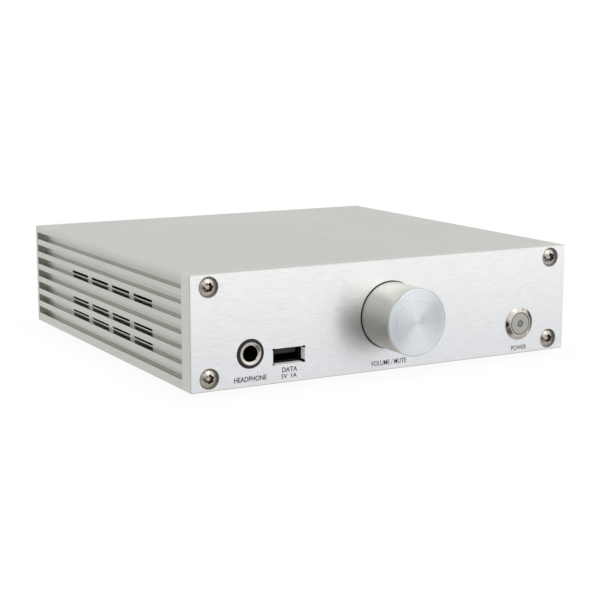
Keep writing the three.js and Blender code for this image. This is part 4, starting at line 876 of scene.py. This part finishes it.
# Screws
def screw(head, height, shank, length, recess, depth, rim=0.08, pitch=0.7, sides=72):
    """A domed screw with a six-lobed recess and a turned shank, standing on Z = 0."""
    rise = height * (1 - rim)
    ball = (head ** 2 + rise ** 2) / (2 * rise)
    steepest = math.asin(head / ball)
    dome = []
    steps = 12
    for step in range(steps + 1):
        angle = steepest * (1 - step / steps)
        dome.append((ball * math.sin(angle), height - ball * (1 - math.cos(angle))))
    dome[-1] = (0, height)
    thread = []
    turns = max(int(length / pitch), 1)
    for ridge in range(turns):
        base = -length + ridge * length / turns
        thread += [(shank * 0.86, base), (shank * 0.98, base + 0.3 * length / turns),
                   (shank * 0.86, base + 0.6 * length / turns)]
    profile = [(0, -length), *thread, (shank * 0.9, 0), (head * 0.98, 0), (head, height * 0.04), *dome]
    body = turned("screw", profile, sides)
    angles = [2 * math.pi * side / sides for side in range(sides)]
    outline = [(recess * (0.89 + 0.11 * math.cos(6 * angle)), angle) for angle in angles]

    def ring(grow, level):
        return [((reach + grow) * math.cos(a), (reach + grow) * math.sin(a), level) for reach, a in outline]

    floor = height - depth
    tool = stack("recess", [[(0, 0, floor - recess * 0.05)], ring(-recess * 0.45, floor),
                            ring(0, floor + recess * 0.4), ring(0, height - 0.12), ring(0.16, height + 0.04),
                            ring(0.16, height + OVERRUN)])
    return cut(body, [tool])


def four_of(one, x, y, step_y, level, seed, finish, turn=1.3):
    """Four copies at plus and minus x, and at y and y + step_y."""
    return repeated(one, 2, 2, (2 * x, 0, 0), (0, step_y, 0), (-x, y, level), turn, seed, finish)


def corner_screws(place, name, seat, seed, metal):
    low, high = SCREW_HEIGHTS
    one = screw(head=4.36, height=2.2, shank=2, length=16, recess=2.15, depth=1.8)
    four = four_of(one, SCREW_X, low, high - low, seat, seed, metal)
    nodes = [f"{name}_screw_{corner}" for corner in CORNERS]
    put(four, f"{name}_screws", place, "case", metal, nodes)


def small_screws():
    near, far = BOARD_SCREW_Y
    one = screw(head=2.8, height=1.9, shank=1.5, length=5, recess=1.3, depth=1.1)
    four = four_of(one, BOARD_RIB_X, near, far - near, 0, 3, ZINCED)
    place = standing(0, 0, BOARD_TOP + SEAM)
    put(four, "board_screws", place, "case", ZINCED, [f"board_screw_{end}" for end in ENDS])
    one = screw(head=3, height=1.3, shank=1.5, length=4.2, recess=1.3, depth=0.9)
    seat = FOOT_HEIGHT - 1.8 + 2 * SEAM
    four = four_of(one, FOOT_X, -FOOT_Y, 2 * FOOT_Y, seat, 4, ZINCED)
    place = below(0, (FACE_Y + REAR_Y) / 2)
    put(four, "foot_screws", place, "case", ZINCED, [f"foot_screw_{end}" for end in ENDS])


def feet():
    """Rubber feet with a rounded sole, a ring groove and a recess for the screw."""
    hole, recess, shelf = 1.6, 3.6, 1.25
    profile = [(hole, SEAM), (FOOT_RADIUS, SEAM), (FOOT_RADIUS - 0.1, 1.0), (FOOT_RADIUS - 0.35, 1.15),
               (FOOT_RADIUS - 0.2, 1.35), (FOOT_TIP_RADIUS, FOOT_HEIGHT + SEAM), (recess, FOOT_HEIGHT + SEAM),
               (recess, shelf), (hole, shelf)]
    radii = [0, 0.1, 0.1, 0.1, 0.1, 0.4, 0.2, 0.1, 0]
    one = turned_ring("foot", profile, radii, 4, 64)
    four = four_of(one, FOOT_X, -FOOT_Y, 2 * FOOT_Y, 0, 0, RUBBER, 0.0)
    place = below(0, (FACE_Y + REAR_Y) / 2)
    put(four, "feet", place, "case", RUBBER, [f"foot_{end}" for end in ENDS])


# Headphone jack
def jack():
    place = on_face(JACK_X, JACK_HEIGHT)
    reach, top, length = 8, 6.2, 30
    collar, collar_mouth, collar_proud = 6.25, 4.7, 0.2
    bore, seat, seat_floor = 4, 5.1, -9.6
    low = BOARD_TOP + SEAM - JACK_HEIGHT
    front = -PANEL_WEB - SEAM
    back = front - length
    housing = eased(brick("housing", (-reach, low, back), (reach, top, front)), 0.4)
    profile = [(0, front - OVERRUN), (collar, front - OVERRUN), (collar, collar_proud),
               (collar_mouth, collar_proud), (0, collar_proud)]
    ring = turned("collar", softened(profile, [0, 0, 0.18, 0, 0]))
    trim = brick("trim", (-reach - 1, low - 3, back - OVERRUN), (reach + 1, low, front))
    hole = turned("bore", [(0, back + 1), (bore, back + 1), (bore, seat_floor), (seat, seat_floor),
                           (seat, OVERRUN), (0, OVERRUN)])
    cut(housing, [trim, hole], [ring])
    put(housing, "jack_housing", place, "case", PLASTIC, ["jack_body"])
    inner, outer, mouth, foot, proud = 3.5, 5, 4.72, -9.5, 0.5
    profile = [(inner, foot), (outer, foot), (outer, proud), (mouth, proud), (inner + 0.2, 0.2), (inner, 0)]
    ferrule = turned_ring("ferrule", profile, [0.1, 0.1, 0.16, 0.14, 0.2, 0.1], 5, 128)
    put(ferrule, "jack_ferrule_ring", place, "case", PLATED, ["jack_ferrule"])


# USB socket
def usb_socket():
    place = on_face(USB_X, USB_HEIGHT)
    width, height, wall, length = 13.4, 6, 0.4, 14
    block_reach, block_rise, block_depth = 6.1, 2.4, 4
    tongue_reach, tongue_level, tongue_half = 5.5, 1.2, 0.92
    contact_half, contact_low, contact_high, contact_pitch, contacts = 0.5, 0.24, 0.29, 2.3, 4
    front = -PANEL_WEB - SEAM
    back = front - length
    rings = []
    for inset, corner, level in ((0, 0.5, back), (0, 0.5, front), (wall, 0.2, front), (wall, 0.2, back)):
        outline = rounded_rectangle(width - 2 * inset, height - 2 * inset, corner)
        rings.append([(x, y, level) for x, y in outline])
    shell = stack("shell", rings, closed=True)
    put(shell, "socket_shell", place, "case", DARK_METAL, ["usb_shell"])
    block = brick("block", (-block_reach, -block_rise, back + SEAM),
                  (block_reach, block_rise, back + block_depth))
    tongue = brick("tongue", (-tongue_reach, tongue_level - tongue_half, back + 2),
                   (tongue_reach, tongue_level + tongue_half, front - 0.9))
    cut(block, [], [tongue])
    eased(block, 0.15)
    put(block, "socket_tongue", place, "case", DULL_PLASTIC, ["usb_insulator"])
    contact = brick("contact", (-contact_half, contact_low, back + block_depth + 0.2),
                    (contact_half, contact_high, front - 1.6))
    step, start = (contact_pitch, 0, 0), (-(contacts - 1) / 2 * contact_pitch, 0, 0)
    row = repeated(eased(contact, 0.02, 1), contacts, column_step=step, start=start, finish=GOLD)
    put(row, "socket_contacts", place, "case", GOLD)


# Knob
def knob():
    place = on_face(0, KNOB_HEIGHT)
    hollow, shaft, hollow_floor, shaft_floor, edge = 10, 3.1, 6, 17, 0.45
    screw_radius, screw_height = 1.6, 11
    outside = [(hollow, -KNOB_SINK), (KNOB_RADIUS - 0.5, -KNOB_SINK), (KNOB_RADIUS, 0.5 - KNOB_SINK),
               (KNOB_RADIUS, KNOB_REACH - edge), (KNOB_RADIUS - edge, KNOB_REACH), (0, KNOB_REACH)]
    inside = [(0, shaft_floor), (shaft, shaft_floor), (shaft, hollow_floor), (hollow, hollow_floor)]
    profile = softened(inside + outside, [0, 0.1, 0.2, 0.3, 0.1, 0.1, 0.15, 0.08, 0.08, 0], 4)
    body = turned("knob", profile, 160)
    hole = drill(screw_radius, KNOB_RADIUS + 1, 0, 0, 0.2, KNOB_RADIUS, 32)
    hole.data.transform(Matrix.Translation((0, 0, screw_height)) @ Matrix.Rotation(math.pi / 2, 4, "X"))
    cut(body, [hole])
    put(body, "volume_knob", place, "knob", TURNED, ["knob"])


# Power button
def power_button():
    place = on_face(POWER_X, POWER_HEIGHT)
    barrel, flange, bore, stem_hole = 6, 7.75, 5.25, 2.3
    barrel_end, barrel_floor, flange_edge = -15, -12.6, 0.25
    outer = [(barrel, barrel_end), (barrel, SEAM), (flange, SEAM), (flange, flange_edge),
             (bore + 0.5, BEZEL_PROUD), (bore, BEZEL_PROUD)]
    inner = [(bore, barrel_floor), (stem_hole, barrel_floor), (stem_hole, barrel_end)]
    radii = [0.1, 0.05, 0.05, 0.2, 0.12, 0.08, 0.1, 0.05, 0.05]
    bezel = turned_ring("bezel", outer + inner, radii, 4, 128)
    mark = prism("mark", rounded_rectangle(1.3, 0.75, 0.36, 6.7, 0), 0.1, 3)
    mark.data.transform(Matrix.Rotation(math.radians(76), 4, "Z"))
    cut(bezel, [mark])
    put(bezel, "button_bezel", place, "case", PLATED, ["power_bezel"])
    stem, stem_end, side, back, eye, eye_floor = 2.2, -13.85, 4.97, -3.45, 1.6, -0.5
    profile = [(0, stem_end), (stem, stem_end), (stem, back), (side, back), (side, CAP_PROUD),
               (eye + 0.15, CAP_PROUD), (eye, CAP_PROUD - 0.2), (eye, eye_floor), (0, eye_floor)]
    cap = turned("cap", softened(profile, [0, 0.2, 0.1, 0.1, 0.22, 0.05, 0.05, 0.05, 0], 4), 128)
    put(cap, "button_cap", place, "power_button", CAP_METAL, ["power_cap"])
    rim = eye - 0.03
    profile = [(0, eye_floor + SEAM), (rim, eye_floor + SEAM), (rim, CAP_PROUD - 0.2),
               (1.25, CAP_PROUD - 0.14), (0.6, CAP_PROUD - 0.12), (0, CAP_PROUD - 0.12)]
    lens = turned("lens", softened(profile, 0.12, 4), 64)
    put(lens, "button_lens", place, "power_button", LENS, ["power_lens"])


def button_spring():
    """The coil spring behind the cap, from the barrel's floor to the cap's back."""
    turn_steps, sides = 24, 10
    low, high = SPRING_BACK + WIRE_RADIUS, SPRING_FRONT - WIRE_RADIUS
    steps = SPRING_TURNS * turn_steps
    rings = []
    for step in range(steps + 1):
        angle = 2 * math.pi * step / turn_steps
        level = low + (high - low) * step / steps
        ring = []
        for side in range(sides):
            lean = 2 * math.pi * side / sides
            reach = SPRING_RADIUS + WIRE_RADIUS * math.cos(lean)
            rise = WIRE_RADIUS * math.sin(lean)
            ring.append((reach * math.cos(angle), reach * math.sin(angle), level + rise))
        rings.append(ring)
    place = on_face(POWER_X, POWER_HEIGHT)
    spring = stack("spring", rings)
    put(spring, "button_spring", place, "case", ZINCED, ["power_spring"])
    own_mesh(spring)


# Rear sockets
def dc_socket():
    place = on_rear(DC_X, DC_HEIGHT)
    reach, low, top, length = 4.5, -6.4, 4.6, 14
    nose_radius, bore, proud, bore_depth = 4, 3.1, 0.6, 9.5
    back = -REAR_PLATE - SEAM
    body = eased(brick("body", (-reach, low, back - length), (reach, top, back)), 0.3)
    profile = [(0, back - OVERRUN), (nose_radius, back - OVERRUN), (nose_radius, proud), (0, proud)]
    nose = turned("nose", softened(profile, [0, 0, 0.25, 0]), 64)
    cut(body, [drill(bore, bore_depth, 0, 0, 0.3, proud)], [nose])
    put(body, "dc_socket", place, "case", PLASTIC, ["dc_inlet"])
    radius, foot, end, hollow = 1, SEAM - bore_depth + proud, -0.2, -1.6
    profile = [(0, foot), (radius, foot), (radius, end - 0.3), (radius - 0.3, end), (0.35, end),
               (0.3, hollow), (0, hollow)]
    pin = turned("pin", softened(profile, 0.08, 3), 48)
    put(pin, "dc_centre_pin", place, "case", PLATED, ["dc_pin"])


def square_socket():
    place = on_rear(USB_B_X, USB_B_HEIGHT)
    reach, rise, length, front = 6, 5.4, 16, 0.5
    body = eased(brick("body", (-reach, -rise, front - length), (reach, rise, front)), 0.35)
    right, top, corner, depth = 4.25, 3.9, 1.4, 9
    mouth = [(-right, -top), (right, -top), (right, top - corner), (right - corner, top),
             (corner - right, top), (-right, top - corner)]
    cut(body, [prism("mouth", softened(mouth, 0.25, 3, closed=True), front - depth, front + OVERRUN)])
    put(body, "square_socket_shell", place, "case", ZINCED, ["usb_b_shell"])
    reach, rise = 2.8, 1.6
    tongue = eased(brick("tongue", (-reach, -rise, front - depth + SEAM), (reach, rise, front - 0.8)), 0.25)
    put(tongue, "square_socket_tongue", place, "case", DULL_PLASTIC, ["usb_b_tongue"])
    half, thickness, pitch = 0.4, 0.06, 2.5
    contact = brick("contact", (-half, rise, front - depth + 1), (half, rise + thickness, front - 1.5))
    step = -2 * rise - thickness
    contacts = repeated(contact, 2, 2, (pitch, 0, 0), (0, step, 0), (-pitch / 2, 0, 0), finish=GOLD)
    put(contacts, "square_socket_contacts", place, "case", GOLD)


def line_sockets():
    back = -REAR_PLATE - SEAM
    shell = [(3.6, back - 1), (5.2, back - 1), (5.2, back), (4.15, back), (4.15, 0.6), (4, 0.9), (4, 1.5),
             (4.15, 1.8), (4.15, 8.4), (3.95, 9), (3.65, 9), (3.6, 8.6)]
    disc = [(1.8, back - 0.9), (3.58, back - 0.9), (3.58, 8.2), (3.3, 8.4), (2, 8.4), (1.8, 8.2)]
    contact = [(1.4, 1), (1.79, 1), (1.79, 8.3), (1.6, 8.4), (1.45, 8.2), (1.4, 7)]
    names = (("line_in_right", "line_in_left"), ("line_out_right", "line_out_left"))
    for column, pair in zip(LINE_COLUMNS, names):
        for row, name, colour in zip(LINE_ROWS, pair, (RED_PLASTIC, WHITE_PLASTIC)):
            place = on_rear(column, row)
            piece = turned_ring("shell", shell, 0.12, 3, 80)
            put(piece, f"{name}_shell", place, "case", GOLD, [name])
            piece = turned_ring("disc", disc, 0.1, 3, 64)
            put(piece, f"{name}_insulator", place, "case", colour)
            piece = turned_ring("contact", contact, 0.06, 3, 48)
            put(piece, f"{name}_contact", place, "case", GOLD)


# Printed words
INK_THICKNESS, INK_GAP = 0.02, 0.004
BOLD, FINE = 0.02, 0.01


def printed(name, text, x, height, width, letter_height, place, weight):
    """A generic word, set in capitals and fitted to its width and height, centred on a point."""
    curve = bpy.data.curves.new(name, "FONT")
    curve.body = text
    curve.align_x = "CENTER"
    curve.resolution_u = 4
    curve.offset = weight
    words = shown(name, curve)
    graph = bpy.context.evaluated_depsgraph_get()
    mesh = bpy.data.meshes.new_from_object(words.evaluated_get(graph), depsgraph=graph)
    bpy.data.objects.remove(words)
    across, up = ([vertex.co[axis] for vertex in mesh.vertices] for axis in (0, 1))
    left, right, low, high = min(across), max(across), min(up), max(up)
    mesh.transform(Matrix.Translation((-(left + right) / 2, -(low + high) / 2, 0)))
    mesh.transform(Matrix.Diagonal((width / (right - left), letter_height / (high - low), 1, 1)))
    piece = shown(name, mesh)
    shell = piece.modifiers.new("ink", "SOLIDIFY")
    shell.thickness = INK_THICKNESS
    shell.offset = 1
    baked(piece)
    piece.data.transform(Matrix.Translation((x, height, INK_GAP)))
    put(piece, name, place, "case", INK)


def labels():
    """Rows of a piece's name, text, place, width, height of letters, side and weight of stroke."""
    left = -CASE_WIDTH / 2
    for row in (
        ("label_headphone", "HEADPHONE", left + 28, 3.5, 15.6, 2.3, on_face(), BOLD),
        ("label_data", "DATA", left + 47, 5.7, 7.4, 2.2, on_face(), BOLD),
        ("label_supply", "5V  1A", left + 46.7, 2.9, 7.6, 1.9, on_face(), BOLD),
        ("label_volume", "VOLUME / MUTE", left + 97.5, 3.5, 18.7, 2.3, on_face(), FINE),
        ("label_power", "POWER", left + 170.1, 2.8, 8.8, 2.2, on_face(), FINE),
        ("label_line_in", "IN", -LINE_COLUMNS[0], 39.5, 3, 2.3, on_rear(), BOLD),
        ("label_line_out", "OUT", -LINE_COLUMNS[1], 39.5, 6, 2.3, on_rear(), BOLD),
        ("label_left", "L", 57, LINE_ROWS[1], 1.5, 2.3, on_rear(), BOLD),
        ("label_right", "R", 57, LINE_ROWS[0], 1.8, 2.3, on_rear(), BOLD),
        ("label_rear_data", "DATA", -USB_B_X, 23.5, 7.4, 2.2, on_rear(), BOLD),
        ("label_dc", "DC 12V", -DC_X, 23.5, 11, 2.2, on_rear(), BOLD),
    ):
        printed(*row)


# Pieces of the frame that keep their own shape
KEPT = {
    "jack_contact": GOLD,
    "main_board": BOARD, "front_board": BOARD,
    "board_connector": DULL_PLASTIC, "mute_plunger": DULL_PLASTIC, "power_switch": DULL_PLASTIC,
    "amplifier_chip": DULL_PLASTIC, "mute_relay": DULL_PLASTIC, "line_block": DULL_PLASTIC,
    "mute_dome": PLATED, "knob_set_screw": DARK_METAL, "heat_sink": DARK_METAL,
    "encoder_body": ZINCED, "encoder_nut": ZINCED, "encoder_shaft": ZINCED, "power_nut": ZINCED,
    "capacitor_1": CAPACITOR, "capacitor_2": CAPACITOR, "capacitor_3": CAPACITOR, "capacitor_4": CAPACITOR,
}


def coat_kept_pieces():
    for name, material in KEPT.items():
        coat(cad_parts[name], material)


# Light, with the softbox in metres
SOFTBOX_PLACE, SOFTBOX_SIZE, SOFTBOX_RADIANCE = (0.1, -0.6, 0.55), (0.5, 0.35), 0.85
GROUND_LEVEL, ROOM_LEVEL = 0.7, 0.93
FLOOR_START, FLOOR_END, FLOOR_GLOW = 2, 18, 0.94
# The floor as metal shows it, before the face and beside the case
FLOOR_BEFORE, FLOOR_BESIDE = rgb(204, 198, 190), rgb(238, 238, 235)
# Soft patches of the room that only shining surfaces show: azimuth from the front, elevation, reach, level
PATCHES = (
    (145, 12, (20, 45), 0.83),
    (36, 30, (14, 38), 1.22),
    (30, -34, (10, 28), 0.66),
    (98, 2, (18, 34), 0.14),
    (-42, -8, (20, 38), 0.46),
    (-24, -10, (9, 14), 0.02),
    (-5, -34, (8, 22), 0.16),
    (-40, 56, (8, 24), 0.35),
)


def seen_directly(nodes):
    """Two switches: for rays from the camera, and for rays that metal or glass sends on."""
    camera = nodes.node("ShaderNodeLightPath", output="Is Camera Ray")
    return camera, camera.other("Is Glossy Ray").math("MAXIMUM", camera.other("Is Transmission Ray"))


def set_world():
    """A white room, with soft patches that give metal its light and dark sides."""
    world = bpy.data.worlds.new("studio")
    bpy.context.scene.world = world
    world.use_nodes = True
    nodes = Nodes(world.node_tree)

    def blend(share, first, second):
        return nodes.node("ShaderNodeMix", {"data_type": "FLOAT"}, {0: share, 2: first, 3: second})

    direction = nodes.node("ShaderNodeTexCoord", output="Generated")
    room = level = nodes.between(nodes.parts(direction)[2], -0.5, 0.15, GROUND_LEVEL, ROOM_LEVEL)
    for azimuth, slope, (inner, outer), patch in PATCHES:
        turn, tilt = math.radians(azimuth), math.radians(slope)
        towards = (math.sin(turn) * math.cos(tilt), -math.cos(turn) * math.cos(tilt), math.sin(tilt))
        sockets = {0: direction, 1: towards}
        nearness = nodes.node("ShaderNodeVectorMath", {"operation": "DOT_PRODUCT"}, sockets, "Value")
        share = nodes.between(nearness, math.cos(math.radians(outer)), math.cos(math.radians(inner)))
        level = blend(share, level, patch)
    camera, shining = seen_directly(nodes)
    level = blend(camera, blend(shining, room, level), 1.0)
    background = world.node_tree.nodes["Background"]
    background.inputs["Color"].default_value = (1, 1, 1, 1)
    nodes.feed(background.inputs["Strength"], level)


def add_softbox(name, place, size, radiance):
    """A soft lamp whose surface has the given brightness, aimed at the object."""
    data = bpy.data.lights.new(name, "AREA")
    data.shape = "RECTANGLE"
    data.size, data.size_y = size
    data.energy = radiance * math.pi * size[0] * size[1]
    lamp = bpy.data.objects.new(name, data)
    bpy.context.scene.collection.objects.link(lamp)
    lamp.location = place
    lamp.rotation_euler = (Vector((0, 0, 0.03)) - Vector(place)).to_track_quat("-Z", "Y").to_euler()


def lay_floor():
    """A white board under the object that keeps its faint shadow and fades out round it."""
    mesh = bpy.data.meshes.new("floor")
    right = (CASE_WIDTH / 2 + FLOOR_END) * MM
    front, rear = (FACE_Y - FLOOR_END) * MM, (REAR_Y + FLOOR_END) * MM
    corners = [(-right, front, 0), (right, front, 0), (right, rear, 0), (-right, rear, 0)]
    mesh.from_pydata(corners, [], [(0, 1, 2, 3)])
    floor = shown("floor", mesh)
    finish = Finish("white_floor", roughness=0.9)
    point = finish.place()
    x, y, _ = finish.parts(point)
    across = (x.math("ABSOLUTE") - CASE_WIDTH / 2).math("MAXIMUM", 0)
    along = ((y - (FACE_Y + REAR_Y) / 2).math("ABSOLUTE") - CASE_DEPTH / 2).math("MAXIMUM", 0)
    fade = finish.between(hypot(across, along), FLOOR_START, FLOOR_END)
    grain = finish.noise(point, 0.8, 3)
    finish.drive(base_color=finish.mixed(grain, rgb(246, 246, 246), rgb(252, 252, 252)))
    camera, shining = seen_directly(finish)
    beside = finish.between(x.math("ABSOLUTE"), CASE_WIDTH / 2 - 2, CASE_WIDTH / 2 + 2)
    tint = finish.mixed(camera, finish.mixed(beside, FLOOR_BEFORE, FLOOR_BESIDE), (1, 1, 1, 1))
    glow = finish.node("ShaderNodeEmission", None, {"Color": tint, "Strength": 1.0})
    shaded = Output(finish, finish.shader.outputs[0])
    direct = camera.math("MAXIMUM", shining) * FLOOR_GLOW
    board = finish.node("ShaderNodeMixShader", None, {0: direct, 1: shaded, 2: glow})
    clear = finish.node("ShaderNodeBsdfTransparent")
    faded = finish.node("ShaderNodeMixShader", None, {0: fade, 1: board, 2: clear})
    finish.feed(finish.tree.nodes["Material Output"].inputs["Surface"], faded)
    floor.data.materials.append(finish.material)


aim_camera()
set_world()
add_softbox("softbox_above", SOFTBOX_PLACE, SOFTBOX_SIZE, SOFTBOX_RADIANCE)
lay_floor()
sleeve()
front_plate()
rear_plate()
corner_screws(on_face(), "front", SEAM - COUNTERBORE_DEPTH, 1, FRONT_SCREWS)
corner_screws(on_rear(), "rear", SEAM, 2, REAR_SCREWS)
small_screws()
feet()
jack()
usb_socket()
knob()
power_button()
button_spring()
dc_socket()
square_socket()
line_sockets()
labels()
coat_kept_pieces()

bpy.context.scene.view_settings.view_transform = "Standard"
